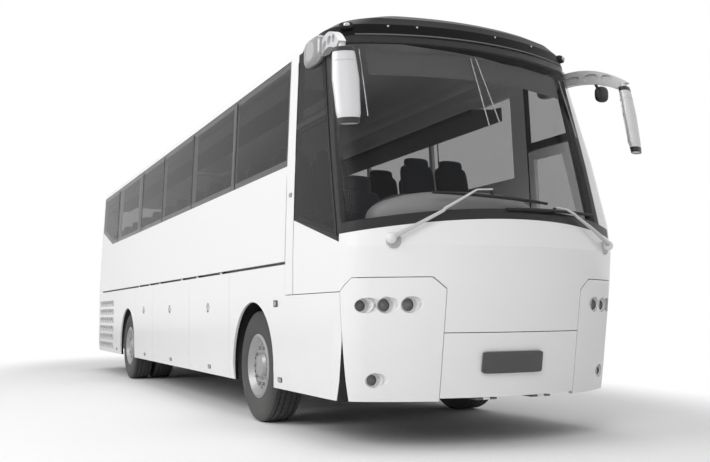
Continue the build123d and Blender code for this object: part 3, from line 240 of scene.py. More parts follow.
# Dust: thickest at a low height, gone at a high one, in patches.
dust_film, given, gives = group(
    "dust_film",
    [
        ("Clean", "Color", PAINT), ("Dust", "Color", DUST), ("Low", "Float", 0.3), ("High", "Float", 1.2),
        ("Amount", "Float", 0.3), ("Patch Scale", "Float", 2.0), ("Clean Roughness", "Float", 0.2),
        ("Dust Roughness", "Float", 0.7),
    ],
    [("Color", "Color"), ("Roughness", "Float")],
)
place = part_of(dust_film, "TexCoord").outputs["Object"]
height = part_of(dust_film, "SeparateXYZ", {0: place}).outputs["Z"]
fade = part_of(dust_film, "MapRange", {
    "Value": height, "From Min": given["Low"], "From Max": given["High"], "To Min": 1.0, "To Max": 0.0,
})
patches = noise(dust_film, place, given["Patch Scale"], 6.0)
share = maths(dust_film, "MULTIPLY", fade.outputs[0], patches)
share = maths(dust_film, "MULTIPLY", share, given["Amount"], use_clamp=True)
dull = part_of(dust_film, "Mix", {0: share, 2: given["Clean Roughness"], 3: given["Dust Roughness"]})
fill(dust_film, gives, {
    "Color": blend(dust_film, share, given["Clean"], given["Dust"]), "Roughness": dull.outputs[0],
})

# Grain: a fine even noise for the height of a bump, and a coarse one for mottled colour.
grain, given, gives = group(
    "grain", [("Fine Scale", "Float", 300.0), ("Coarse Scale", "Float", 5.0)],
    [("Height", "Float"), ("Mottle", "Float")],
)
place = part_of(grain, "TexCoord").outputs["Object"]
fill(grain, gives, {
    "Height": noise(grain, place, given["Fine Scale"], 3.0),
    "Mottle": noise(grain, place, given["Coarse Scale"], 5.0),
})


def rgba(colour):
    """A full colour from a grey level or from three channels."""
    return (colour, colour, colour, 1) if isinstance(colour, float) else (*colour[:3], 1)


def finish(name, colour, roughness, values=None, dust=None, bump=None, mottle=None):
    """A surface finish: plain values on the shader's own sockets, then dust, a bumped grain (scale,
    strength, depth) and a mottle (other colour, scale) that vary over the surface."""
    made, tree, shader = new_material(name)
    colour = rgba(colour)
    made.diffuse_color = colour
    fill(tree, shader, {"Base Color": colour, "Roughness": roughness, **(values or {})})
    paint = colour
    if bump or mottle:
        fine_scale, strength, depth = bump or (200.0, 0.0, 0.0)
        other, coarse_scale = mottle or (colour, 5.0)
        texture = placed_group(tree, grain, {"Fine Scale": fine_scale, "Coarse Scale": coarse_scale}).outputs
    if bump:
        raised = {"Strength": strength, "Distance": depth, "Height": texture["Height"]}
        fill(tree, shader, {"Normal": part_of(tree, "Bump", raised).outputs[0]})
    if mottle:
        paint = blend(tree, texture["Mottle"], colour, rgba(other))
        fill(tree, shader, {"Base Color": paint})
    if dust:
        film = placed_group(tree, dust_film, {"Clean": paint, "Clean Roughness": roughness, **dust}).outputs
        fill(tree, shader, {"Base Color": film["Color"], "Roughness": film["Roughness"]})
    return made


def dress(material, *names):
    """Gives CAD nodes a finish on their own material slots."""
    for name in names:
        if not nodes[name].material_slots:
            nodes[name].data.materials.append(material)
        for used in nodes[name].material_slots:
            used.material = material


white_paint = finish(
    "white_coach_paint", PAINT, 0.3, {"Coat Weight": 0.45, "Coat Roughness": 0.12},
    dust={"Amount": 0.22, "Low": 0.3, "High": 1.2}, bump=(260.0, 0.04, 0.001),
)


def white_paint_with_black_and_shade(name, mask_of):
    """White paint that turns a duller black where a mask over the object's place says so. The black is real
    black paint round the cab's windows, and painted shade on the skirts' inner faces.
    """
    made = white_paint.copy()
    made.name = name
    tree = made.node_tree
    shader = tree.nodes["Principled BSDF"]
    place = part_of(tree, "TexCoord").outputs["Object"]
    mask = mask_of(tree, part_of(tree, "SeparateXYZ", {0: place}).outputs)
    paint = shader.inputs["Base Color"].links[0].from_socket
    fill(tree, shader, {"Base Color": blend(tree, mask, paint, BLACK_PAINT_AND_SHADE)})
    for label in ("Coat Weight", "Specular IOR Level"):
        whole = shader.inputs[label].default_value
        fill(tree, shader, {label: maths(tree, "MULTIPLY_ADD", mask, -GLOSS_LOST * whole, whole)})
    return made


def round_cab_windows(tree, axes):
    """Ahead of the pillar and above the lower edge of the driver's window."""
    ahead = maths(tree, "LESS_THAN", axes["Y"], CAB_WINDOW_Y)
    edge = maths(tree, "MULTIPLY_ADD", axes["Y"], SILL_SLOPE, SILL_RISE)
    return maths(tree, "MULTIPLY", ahead, maths(tree, "GREATER_THAN", axes["Z"], edge))


def painted_shade_inside_face(tree, axes):
    """Nearer the middle than the outer skin, where the black is painted shade: the skirts' thick edges at the
    wheel arches turn as dark as the shaded inside of the arches. The cab's skirt curves in past this towards
    the nose, so its front edge turns black as well."""
    return maths(tree, "LESS_THAN", maths(tree, "ABSOLUTE", axes["X"]), SKIN_X)


dress(white_paint, *PANELS)
dress(white_paint_with_black_and_shade("side_wall_paint", round_cab_windows), "side_walls")
# Skirts and locker doors: white paint, with painted shade in black on their inner faces so the wheel arches'
# edges read as dark.
dress(white_paint_with_black_and_shade("skirt_paint_and_arch_shade", painted_shade_inside_face), *LOWER_PANELS)

# ---------------------------------------------------------------- glass
# Smooth glossy panes, seen through in part. The side and rear ones are tinted dark and the windscreen
# is lighter.
side_glass = finish(
    "dark_side_glass", (0.012, 0.012, 0.013), 0.03, {"Alpha": 0.42, "IOR": 1.27},
    mottle=((0.02, 0.02, 0.022), 0.6),
)
screen_glass = finish(
    "screen_glass", (0.02, 0.02, 0.022), 0.02, {"Alpha": 0.14, "IOR": 1.33},
    mottle=((0.03, 0.03, 0.032), 0.8),
)
dress(side_glass, "side_glazing", "rear_window", "door_glass")
dress(screen_glass, "windscreen")

# ---------------------------------------------------------------- black trim
# Satin black mouldings round the screen, a glossier black cap over it, and rubbery wheel liners.
black_trim = finish("black_trim", (0.02, 0.02, 0.021), 0.38, bump=(350.0, 0.15, 0.0005))
cap_gloss = finish(
    "gloss_black_cap", (0.007, 0.007, 0.008), 0.35, {"Specular IOR Level": 0.10}, bump=(200.0, 0.03, 0.001),
)
liner = finish("wheel_liner", 0.018, 0.8, dust={"Amount": 0.5, "High": 1.0}, bump=(150.0, 0.3, 0.001))
hinge_steel = finish("hinge_steel", 0.03, 0.5, {"Metallic": 0.2}, bump=(300.0, 0.1, 0.0005))
dress(black_trim, "windscreen_frame")
dress(cap_gloss, "roof_front_cap")
dress(liner, "wheel_housings")
dress(hinge_steel, "hinges", "door_arms")

# ---------------------------------------------------------------- floors, hold and underframe
# Speckled vinyl in the saloon, a grey tray for the luggage, and black painted members below with road
# dirt on them.
vinyl = finish(
    "floor_vinyl", (0.10, 0.10, 0.105), 0.6, bump=(180.0, 0.2, 0.001), mottle=((0.17, 0.17, 0.175), 60.0)
)
tray = finish(
    "hold_tray", (0.22, 0.22, 0.225), 0.5, {"Metallic": 0.3}, bump=(120.0, 0.2, 0.001),
    mottle=((0.16, 0.16, 0.165), 12.0),
)
chassis_black = finish(
    "chassis_black", 0.03, 0.5, dust={"Amount": 0.6, "High": 1.3}, bump=(90.0, 0.3, 0.001),
    mottle=((0.05, 0.045, 0.04), 8.0),
)
engine_grey = finish(
    "engine_grey", (0.12, 0.125, 0.13), 0.55, {"Metallic": 0.2}, dust={"Amount": 0.5, "High": 1.4},
    bump=(60.0, 0.4, 0.002),
)
bellows = finish(
    "bellows_rubber", 0.02, 0.75, bump=(160.0, 0.3, 0.001), mottle=((0.035, 0.034, 0.033), 9.0)
)
dress(vinyl, "saloon_floor", "cab_floor", "entrance_steps")
dress(tray, "luggage_hold")
dress(chassis_black, "underframe_front", "underframe_rear", "front_axle", "rear_axle")
dress(chassis_black, "track_rod", "knuckle_left", "knuckle_right")
dress(engine_grey, "engine")
dress(bellows, "air_springs")

# ---------------------------------------------------------------- interior mouldings
# Grained grey plastic for the dashboard and steering wheel, a paler lining for the racks, and plain
# cloth on the seats' solids.
grained = finish(
    "grained_plastic", (0.07, 0.07, 0.073), 0.6, bump=(420.0, 0.4, 0.0006), mottle=((0.05, 0.05, 0.052), 10.0)
)
pale_lining = finish(
    "rack_lining", (0.10, 0.10, 0.104), 0.7, bump=(300.0, 0.3, 0.0006), mottle=((0.08, 0.08, 0.083), 8.0)
)
seat_cloth = finish(
    "seat_cloth", (0.035, 0.036, 0.04), 0.9, bump=(500.0, 0.6, 0.001), mottle=((0.06, 0.06, 0.065), 40.0)
)
dress(grained, "dashboard", "steering_wheel")
dress(pale_lining, "luggage_racks")
dress(seat_cloth, "driver_seat", "passenger_seats")

# ---------------------------------------------------------------- wheels, castings and lamp solids
# Silver paint on the wheels' rims, black rubber for the tyres, a pale cast metal for the mirrors' arms
# and the wipers, and clear plastic for the lamps.
wheel_silver = finish(
    "wheel_silver", (0.34, 0.34, 0.345), 0.34, {"Metallic": 0.6},
    dust={"Amount": 0.35, "Low": 0.2, "High": 1.2}, bump=(200.0, 0.05, 0.001),
)
tyre_rubber = finish(
    "tyre_rubber", 0.02, 0.7, dust={"Amount": 0.7, "Dust": (0.16, 0.155, 0.15, 1), "Low": 0.0, "High": 1.6},
    bump=(130.0, 0.3, 0.001),
)
cast_silver = finish("cast_silver", (0.60, 0.60, 0.61), 0.35, {"Metallic": 0.3}, bump=(240.0, 0.08, 0.001))
lens = finish("clear_lens", 0.8, 0.03, {"Alpha": 0.3, "IOR": 1.5}, bump=(80.0, 0.1, 0.001))
dress(wheel_silver, "front_rim_left", "front_rim_right", "rear_rims_left", "rear_rims_right")
dress(tyre_rubber, "front_tyre_left", "front_tyre_right", "rear_tyres_left", "rear_tyres_right")
dress(cast_silver, "mirrors", "wipers")
dress(lens, "front_lamps", "rear_lamps")

# ---------------------------------------------------------------- wipers
# Two wipers parked low across the screen: each a silver arm off a domed pivot cover on a grey base,
# and a black rubber blade under a slim bridge that follows the glass.
NOSE_LINE = [
    # height, where the middle of the front stands
    (0.363, -5.823), (1.2, -5.9637), (1.5, -6.0), (1.75, -5.975), (1.9, -5.922), (2.6, -5.673),
    (3.25, -5.432),
]
PLAN_RADII = [(1.5, 2.0), (1.9, 2.05), (2.6, 2.25), (3.15, 2.37)]
WIPER_PIVOTS = {
    # side: pivot, elbow, arm end, blade start, blade end, each across and up
    "right": ((-1.0, 1.548), (-0.374, 1.905), (-0.249, 1.912), (-0.70, 1.892), (0.25, 1.838)),
    "left": ((0.985, 1.549), (0.42, 1.79), (0.30, 1.80), (-0.15, 1.776), (0.83, 1.785)),
}
OVER_SCREEN = (0, -1, 0.1)
ARM_LIFT = ([0, 0.06, 0.2, 1], [0.05, 0.052, 0.048, 0.040])
ARM_HALF = ([0, 0.15, 0.82, 0.86, 1], [0.036, 0.030, 0.018, 0.013, 0.013])
PIVOT_HUB = [(0.0, -0.02), (0.016, -0.02), (0.016, 0.03), (0.0, 0.03)]
PIVOT_FOOT = [(0.0, -0.02), (0.056, -0.02), (0.056, 0.006), (0.050, 0.014), (0.040, 0.016), (0.0, 0.016)]


def piece(name, grids, material, body="coach", crease=35.0):
    """One mesh from point grids (rows, columns, 3). Each grid comes with whether its columns close into
    rings and whether its first and last rows are capped. Shared points are merged and faces turned out."""
    points, faces, first = [], [], 0
    for grid, ring, capped in grids:
        grid = np.asarray(grid, float)
        rows, columns = grid.shape[:2]
        index = first + np.arange(rows * columns).reshape(rows, columns)
        lap = np.hstack([index, index[:, :1]]) if ring else index
        quads = np.stack([lap[:-1, :-1], lap[1:, :-1], lap[1:, 1:], lap[:-1, 1:]], -1)
        faces += quads.reshape(-1, 4).tolist()
        if capped:
            faces += [index[0][::-1].tolist(), index[-1].tolist()]
        points.append(grid.reshape(-1, 3))
        first += rows * columns
    mesh = bpy.data.meshes.new(name)
    mesh.from_pydata(np.vstack(points).tolist(), [], faces)
    shape = bmesh.new()
    shape.from_mesh(mesh)
    bmesh.ops.remove_doubles(shape, verts=shape.verts, dist=1e-5)
    bmesh.ops.recalc_face_normals(shape, faces=shape.faces)
    shape.to_mesh(mesh)
    shape.free()
    mesh.shade_smooth()
    mesh.set_sharp_from_angle(angle=math.radians(crease))
    made = bpy.data.objects.new(name, mesh)
    bpy.context.scene.collection.objects.link(made)
    mesh.materials.append(material)
    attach(made, body)
    return made


def circle(steps):
    """Angles spread evenly round a full turn."""
    return np.linspace(0, 2 * np.pi, steps, endpoint=False)


def spread(first, second):
    """Two sets of numbers brought to one shape."""
    return np.broadcast_arrays(np.asarray(first, float), np.asarray(second, float))


def along_line(at, line):
    """The second column of a line's stations, read off at places in its first."""
    places, values = zip(*line)
    return np.interp(at, places, values)


def front_y(x, z):
    """Where the front stands: the nose line at a height, and back from it round a circle in plan."""
    radius = along_line(z, PLAN_RADII)
    return along_line(z, NOSE_LINE) + radius - np.sqrt(radius**2 - np.asarray(x, float) ** 2)


def on_front(x, z, lift=0.0):
    """Points on the front at places across and up, lifted off it along its outward normal."""
    x, z = spread(x, z)
    step = 0.002
    slope_x = (front_y(x + step, z) - front_y(x - step, z)) / (2 * step)
    slope_z = (front_y(x, z + step) - front_y(x, z - step)) / (2 * step)
    out = np.stack([slope_x, -np.ones_like(x), slope_z], -1)
    out /= np.linalg.norm(out, axis=-1, keepdims=True)
    return np.stack([x, front_y(x, z), z], -1) + out * np.asarray(lift)[..., None]


def turned(profile, centre, axis, steps=40):
    """Turned form: (radius, along) pairs swung round an axis through a centre."""
    axis = np.asarray(axis, float) / np.linalg.norm(axis)
    side = np.cross(axis, (0.0, 0.0, 1.0) if abs(axis[2]) < 0.9 else (1.0, 0.0, 0.0))
    side /= np.linalg.norm(side)
    angle = circle(steps)[:, None]
    spoke = np.cos(angle) * side + np.sin(angle) * np.cross(axis, side)
    radius, along = np.asarray(profile, float).T
    grid = np.asarray(centre, float) + along[:, None, None] * axis + radius[:, None, None] * spoke[None]
    return grid, True, False


def swept(path, section, up=(0.0, 0.0, 1.0), scale=None):
    """A closed section of (across, up) pairs carried along a path, grown or shrunk by scale on the way,
    with its ends capped."""
    path = np.asarray(path, float)
    ahead = np.gradient(path, axis=0)
    ahead /= np.linalg.norm(ahead, axis=1, keepdims=True)
    across = np.cross(ahead, np.asarray(up, float))
    across /= np.linalg.norm(across, axis=1, keepdims=True)
    over = np.cross(across, ahead)
    size = np.ones(len(path)) if scale is None else np.asarray(scale, float)
    grid = path[:, None] + size[:, None, None] * (
        section[None, :, :1] * across[:, None] + section[None, :, 1:] * over[:, None]
    )
    return grid, True, True


def rounded(width, height, power=3.0, steps=24):
    """A closed rounded section: |across/width|^power + |up/height|^power = 1, at half sizes."""
    c, s = np.cos(circle(steps)), np.sin(circle(steps))
    return np.stack([
        width * np.sign(c) * np.abs(c) ** (2 / power), height * np.sign(s) * np.abs(s) ** (2 / power)
    ], -1)


def path_through(stations, count):
    """Points spread evenly along straight runs between stations."""
    stations = np.asarray(stations, float)
    run = np.concatenate([[0], np.cumsum(np.linalg.norm(np.diff(stations, axis=0), axis=1))])
    at = np.linspace(0, run[-1], count)
    return np.stack([np.interp(at, run, column) for column in stations.T], -1)


blade_rubber = finish("blade_rubber", 0.015, 0.6, bump=(400.0, 0.2, 0.0004))
arm_silver = finish(
    "wiper_arm_silver", (0.55, 0.55, 0.56), 0.35, {"Metallic": 0.5}, bump=(260.0, 0.05, 0.001)
)
cover_white = finish("pivot_cover", 0.72, 0.35, bump=(200.0, 0.04, 0.001))
base_grey = finish("pivot_base", 0.42, 0.5, bump=(200.0, 0.1, 0.001))
for side, (pivot, elbow, end, blade_from, blade_to) in WIPER_PIVOTS.items():
    flat = path_through([pivot, elbow, end], 60)
    share = np.linspace(0, 1, 60)
    arm = swept(
        on_front(flat[:, 0], flat[:, 1], np.interp(share, *ARM_LIFT)), rounded(0.5, 0.5, 3.0, 16),
        up=OVER_SCREEN, scale=np.interp(share, *ARM_HALF),
    )
    normal = on_front(*pivot, 1.0) - on_front(*pivot, 0.0)
    hub = turned(PIVOT_HUB, on_front(*pivot, 0.03), normal, 24)
    made = piece(f"wiper_arm_{side}", [arm, hub], arm_silver)
    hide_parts("wipers")
    bend = np.linspace(0, np.pi / 2, 10)
    dome = [(0.0, 0.0), (0.038, 0.0)] + list(zip(0.040 * np.cos(bend), 0.030 + 0.036 * np.sin(bend)))
    cover = turned(dome, on_front(*pivot, 0.012), normal, 40)
    piece(f"wiper_cover_{side}", [cover], cover_white)
    foot = turned(PIVOT_FOOT, on_front(pivot[0] + 0.012, pivot[1] - 0.014, 0.0), normal, 40)
    piece(f"wiper_base_{side}", [foot], base_grey)
    flat = path_through([blade_from, blade_to], 50)
    slim = np.sqrt(np.clip(1.06 - np.linspace(-1, 1, 50) ** 2, 0.1, 1))
    rubber = swept(on_front(flat[:, 0], flat[:, 1], 0.012), rounded(0.010, 0.007, 3.0, 12), up=OVER_SCREEN)
    bridge = swept(
        on_front(flat[:, 0], flat[:, 1], 0.022 + 0.006 * slim), rounded(0.008, 0.006, 3.0, 12),
        up=OVER_SCREEN, scale=slim,
    )
    hold = path_through([on_front(*end, 0.03), on_front(end[0], end[1] - 0.04, 0.02)], 6)
    clip = swept(hold, rounded(0.012, 0.012, 3.0, 12), up=OVER_SCREEN)
    piece(f"wiper_blade_{side}", [rubber, bridge, clip], blade_rubber)

# ---------------------------------------------------------------- front lamps
# Round lamps, each at the bottom of a moulded well in its panel: a painted well wall, a bright ring, a
# dark bowl with a smaller ring in it and a clear domed lens.
PANEL_LINE = [(0.70, -5.815), (0.861, -5.747), (1.013, -5.666), (1.15, -5.576), (1.23, -5.483), (1.28, -5.41)]
PANEL_RISE, PANEL_RISE_FROM = -0.167, 1.07
FRONT_UNITS = [
    # across, up, hole radius, depth of the unit's rim behind the panel at its outer edge
    (0.861, 1.070, 0.062, 0.010), (1.013, 1.068, 0.062, 0.012), (1.150, 1.066, 0.056, 0.014),
    (1.060, 0.519, 0.055, 0.010),
]
CHROME_RING = [(0.008, -0.001), (0.011, -0.005), (0.015, -0.004), (0.016, 0.006), (0.008, 0.006)]
PROJECTOR = [(0.55, 0.006), (0.50, 0.002), (0.46, 0.006), (0.46, 0.03), (0.55, 0.03)]
LAMP_LENS = [(0.0, -0.012), (0.4, -0.0108), (0.75, -0.006), (0.98, 0.0), (0.98, 0.002), (0.0, -0.009)]
BOWL_EDGE, BOWL_WALL = 0.016, 0.003


def closed(profile):
    """A profile that ends where it starts."""
    return profile + profile[:1]


def panel_y(x, z):
    """Where a lamp panel stands: its plan line, leaning forward with height."""
    return along_line(np.abs(x), PANEL_LINE) + PANEL_RISE * (z - PANEL_RISE_FROM)


def well_wall(x, z, radius, face):
    """The wall of a well: rings on the panel, then flat ones down to the unit and back behind them."""
    across, up = np.cos(circle(56)), np.sin(circle(56))
    on_panel = [(0.0005, 0.0), (0.0025, -0.003)]
    flat = [(0.003, 0.0), (0.012, 0.002), (0.012, 0.010), (0.0005, 0.010)]
    rows = []
    for inward, proud in on_panel:
        px, pz = x + (radius - inward) * across, z + (radius - inward) * up
        rows.append(np.stack([px, panel_y(px, pz) - proud, pz], -1))
    for inward, deeper in flat:
        px, pz = x + (radius - inward) * across, z + (radius - inward) * up
        rows.append(np.stack([px, np.full_like(px, face + deeper), pz], -1))
    return np.stack(closed(rows)), True, False


bright_ring = finish("lamp_ring", (0.55, 0.55, 0.56), 0.12, {"Metallic": 1.0}, bump=(300.0, 0.02, 0.0005))
dark_bowl = finish(
    "lamp_bowl", (0.10, 0.10, 0.105), 0.25, {"Metallic": 0.9}, bump=(140.0, 0.2, 0.0008),
    mottle=((0.18, 0.18, 0.19), 30.0),
)
clear_lens = finish(
    "clear_lens", (0.35, 0.35, 0.36), 0.04, {"Alpha": 0.22, "IOR": 1.5}, bump=(60.0, 0.05, 0.0008)
)
wells, rings, bowls, lenses = [], [], [], []
for way in (-1, 1):
    for out, z, radius, sunk in FRONT_UNITS:
        x = way * out
        face = panel_y(x + way * radius, z) + sunk
        inner = radius - BOWL_EDGE
        wells.append(well_wall(x, z, radius, face))
        ring = closed([(radius - inward, along) for inward, along in CHROME_RING])
        rings.append(turned(ring, (x, face, z), (0, 1, 0), 48))
        projector = closed([(inner * part, along) for part, along in PROJECTOR])
        rings.append(turned(projector, (x, face, z), (0, 1, 0), 40))
        bowl = closed([
            (inner, 0.0), (inner * 0.92, 0.016), (inner * 0.6, 0.034), (inner * 0.2, 0.042), (0.0, 0.043),
            (0.0, 0.048), (inner * 0.7, 0.042), (inner + BOWL_WALL, 0.02), (inner + BOWL_WALL, 0.0),
        ])
        bowls.append(turned(bowl, (x, face + 0.001, z), (0, 1, 0), 48))
        dome = [(inner * part, along) for part, along in LAMP_LENS]
        lenses.append(turned(dome, (x, face + 0.002, z), (0, 1, 0), 48))
made = piece("front_lamp_wells", wells, white_paint)
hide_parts("front_lamps")
piece("front_lamp_rings", rings, bright_ring)
piece("front_lamp_bowls", bowls, dark_bowl)
piece("front_lamp_lenses", lenses, clear_lens)

# ---------------------------------------------------------------- tyres
# Tyres moulded in black rubber: ribbed sidewalls, four zigzag grooves round the tread and short sipes
# across its shoulders.
TYRE_R = 0.5215
SIDEWALL = [
    # half width, radius, from the bead to the shoulder
    (0.104, 0.2915), (0.122, 0.2925), (0.131, 0.302), (0.139, 0.325), (0.1455, 0.36), (0.1485, 0.40),
    (0.1488, 0.43), (0.146, 0.46), (0.140, 0.487), (0.1325, 0.503), (0.126, 0.5125), (0.121, 0.5165),
]
RIB_RADII, RIB_HALF, RIB_PROUD = (0.345, 0.455), 0.006, 0.0012
GROOVES, GROOVE_HALF, GROOVE_DEPTH, GROOVE_SLOPE = (-0.082, -0.030, 0.030, 0.082), 0.0055, 0.012, 0.0015
SHOULDER = np.array([0.110, 0.116])
ZIGZAGS, ZIGZAG_SWING, CROWN_DROP = 48, 0.004, 0.004
SIPES, SIPE_SHARE, SIPE_DEPTH, TYRE_STEPS = 64, 0.18, 0.005, 384
TYRES = {
    "front_tyre_left": (1.076,), "front_tyre_right": (-1.076,),
    "rear_tyres_left": (1.086, 0.746), "rear_tyres_right": (-1.086, -0.746),
}


def tyre(centre):
    """A tyre about the X axis: sidewalls turned from a profile with two raised ribs, and between them a
    tread whose radius drops in zigzag grooves and at the sipes of its shoulders."""
    angle = circle(TYRE_STEPS)
    fine = path_through(SIDEWALL, 40)
    fine[:, 0] += sum(RIB_PROUD * (np.abs(fine[:, 1] - radius) < RIB_HALF) for radius in RIB_RADII)
    lip = np.array([-GROOVE_HALF - GROOVE_SLOPE, -GROOVE_HALF, GROOVE_HALF, GROOVE_HALF + GROOVE_SLOPE])
    flat, count = np.zeros(2), len(GROOVES)
    across = np.concatenate([-SHOULDER[::-1]] + [groove + lip for groove in GROOVES] + [SHOULDER])
    depth = np.concatenate([flat] + count * [GROOVE_DEPTH * np.array([0.0, 1.0, 1.0, 0.0])] + [flat])
    swing = np.concatenate([flat] + count * [np.ones(4)] + [flat])
    zig = ZIGZAG_SWING * (np.abs((angle * ZIGZAGS / (2 * np.pi)) % 1.0 - 0.5) * 4 - 1)
    tread_x = across[:, None] + swing[:, None] * zig[None]
    crown = TYRE_R - CROWN_DROP * (across / 0.12) ** 2
    sipe = ((angle * SIPES / (2 * np.pi)) % 1.0 < SIPE_SHARE).astype(float)
    shoulder = (np.abs(across) > 0.1)[:, None] * sipe[None] * SIPE_DEPTH
    tread_r = crown[:, None] - depth[:, None] - shoulder
    around = (1, TYRE_STEPS)
    rows_x = [np.tile(-fine[:, :1], around), tread_x, np.tile(fine[::-1, :1], around)]
    rows_r = [np.tile(fine[:, 1:], around), tread_r, np.tile(fine[::-1, 1:], around)]
    x = np.concatenate(rows_x + [rows_x[0][:1]])
    radius = np.concatenate(rows_r + [rows_r[0][:1]])
    return np.stack([
        centre[0] + x, centre[1] + radius * np.cos(angle), centre[2] + radius * np.sin(angle),
    ], -1), True, False


def wheel_of(name):
    """A tyre node's axle end, its side, its outward way and its hub."""
    low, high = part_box(name)
    side = "left" if name.endswith("left") else "right"
    return name.split("_")[0], side, dict(SIDES)[side], (low + high) / 2


for name, offsets in TYRES.items():
    end, side, way, hub = wheel_of(name)
    moulded = [tyre((x, hub.y, hub.z)) for x in offsets]
    made = piece(name + "_moulded", moulded, tyre_rubber, f"{end}_wheel_{side}", crease=40.0)
    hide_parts(name)

# ---------------------------------------------------------------- wheel trims
# On each wheel's closed trim stand a ring of nut covers, a ring round the hub and the dark mouths of the
# cooling holes, flat black discs of painted shade for the shaded inside of the holes, all facing out along
# the axle.
NUT_RING, HOLE_RING, NUTS, TRIM_OUT = 0.176, 0.204, 10, 0.096
NUT_COVER = [(0.0, -0.002), (0.017, -0.002), (0.017, 0.012), (0.013, 0.022), (0.006, 0.026), (0.0, 0.026)]
HOLE_MOUTH = [(0.0, -0.002), (0.013, -0.002), (0.013, 0.0008), (0.0, 0.001)]
HUB_RING = [(0.118, -0.002), (0.134, -0.002), (0.134, 0.004), (0.128, 0.009), (0.120, 0.006)]
nut_grey = finish("nut_cover", (0.30, 0.30, 0.305), 0.35, {"Metallic": 0.5}, bump=(200.0, 0.1, 0.0006))
# Black for the holes' mouths: painted shade where the inside of each hole would be dark.
hole_painted_shade = finish("trim_hole_painted_shade", 0.03, 0.7, bump=(200.0, 0.1, 0.0006))
for name, offsets in TYRES.items():
    end, side, way, hub = wheel_of(name)
    face = offsets[0] + way * TRIM_OUT
    nuts, holes = [], []
    for at in circle(NUTS):
        place = (face, hub.y + NUT_RING * math.cos(at), hub.z + NUT_RING * math.sin(at))
        nuts.append(turned(NUT_COVER, place, (way, 0, 0), 16))
        at += np.pi / NUTS
        place = (face, hub.y + HOLE_RING * math.cos(at), hub.z + HOLE_RING * math.sin(at))
        holes.append(turned(HOLE_MOUTH, place, (way, 0, 0), 20))
    nuts.append(turned(closed(HUB_RING), (face, hub.y, hub.z), (way, 0, 0), 64))
    piece(f"nut_covers_{end}_{side}", nuts, nut_grey, f"{end}_wheel_{side}")
    piece(f"trim_holes_{end}_{side}", holes, hole_painted_shade, f"{end}_wheel_{side}")

# ---------------------------------------------------------------- number plates
# Blank dark plastic plates, thick and round-cornered. The front one stands on a plain holder on the
# flap.
FRONT_PLATE, FRONT_HOLDER = (-0.32, 0.205, 0.563, 0.722), (-0.20, 0.09, 0.60, 0.69)
plate_plastic = finish(
    "plate_plastic", (0.055, 0.055, 0.057), 0.45, bump=(300.0, 0.15, 0.0005),
    mottle=((0.07, 0.07, 0.072), 14.0),
)


def slab(x_low, x_high, z_low, z_high, surface, inner, outer, power=14.0, steps=72):
    """A rounded plate that follows a surface: its outline is a superellipse, and a few rows carry it from
    its inner lift over a rolled edge to its outer lift, then in to the middle."""
    middle = ((x_low + x_high) / 2, (z_low + z_high) / 2)
    outline = rounded((x_high - x_low) / 2, (z_high - z_low) / 2, power, steps)
    rows = [
        (0.0, inner), (0.5, inner), (1.0, inner), (1.0, outer - 0.002), (0.995, outer - 0.0005),
        (0.985, outer), (0.6, outer), (0.2, outer), (0.0, outer),
    ]
    return np.stack([
        surface(middle[0] + share * outline[:, 0], middle[1] + share * outline[:, 1], lift)
        for share, lift in rows
    ]), True, False


plate = slab(*FRONT_PLATE, on_front, 0.006, 0.028)
holder = slab(*FRONT_HOLDER, on_front, -0.002, 0.0075)
piece("number_plate_front", [plate], plate_plastic, "front_flap")
piece("plate_holder_front", [holder], black_trim, "front_flap")

# ---------------------------------------------------------------- locker handles
# Turn handles let into the locker doors: a bright ring, a dark pocket and a half-round paddle.
LOCKERS = {1: (3.317, 4.918), 2: (4.918, 6.953), 3: (6.953, 8.190)}
DOOR_SKIN, HANDLE_Z = 1.275, 1.088
HANDLE_RIM = [
    (0.044, -0.002), (0.052, -0.001), (0.055, 0.002), (0.053, 0.005), (0.048, 0.006), (0.044, 0.003),
]
HANDLE_DISC = [
    (0.0, -0.011), (0.045, -0.011), (0.045, -0.002), (0.043, -0.002), (0.040, -0.007), (0.0, -0.007),
]
PADDLE_HALF, PADDLE_RISE, PADDLE_MIDDLE = 0.040, 0.034, np.array([0.0, 0.018])
PADDLE_ROWS = np.array([
    (0.0, -0.006), (0.97, -0.006), (1.0, -0.004), (1.0, 0.001), (0.96, 0.003), (0.0, 0.0045),
])
pocket_black = finish("handle_pocket", 0.03, 0.5, bump=(300.0, 0.2, 0.0005))
sweep = np.linspace(0, np.pi, 24)
outline = np.concatenate([
    np.stack([PADDLE_HALF * np.cos(sweep), 0.006 + PADDLE_RISE * np.sin(sweep)], -1),
    np.stack([np.linspace(-PADDLE_HALF, PADDLE_HALF, 8)[1:-1], np.full(6, 0.003)], -1),
])
shrunk = PADDLE_MIDDLE + PADDLE_ROWS[:, :1, None] * (outline - PADDLE_MIDDLE)[None]
for number, (start, stop) in LOCKERS.items():
    for side, way in SIDES:
        at, body = (way * DOOR_SKIN, NOSE_Y + (start + stop) / 2, HANDLE_Z), f"locker_{number}_{side}"
        ring = turned(closed(HANDLE_RIM), at, (way, 0, 0), 48)
        piece(f"locker_ring_{number}_{side}", [ring], bright_ring, body)
        disc = turned(HANDLE_DISC, at, (way, 0, 0), 40)
        piece(f"locker_pocket_{number}_{side}", [disc], pocket_black, body)
        depths = np.broadcast_to(PADDLE_ROWS[:, 1:], shrunk.shape[:2])
        paddle = np.stack([at[0] + way * depths, at[1] + shrunk[..., 0], at[2] + shrunk[..., 1]], -1)
        piece(f"locker_paddle_{number}_{side}", [(paddle, True, False)], base_grey, body)

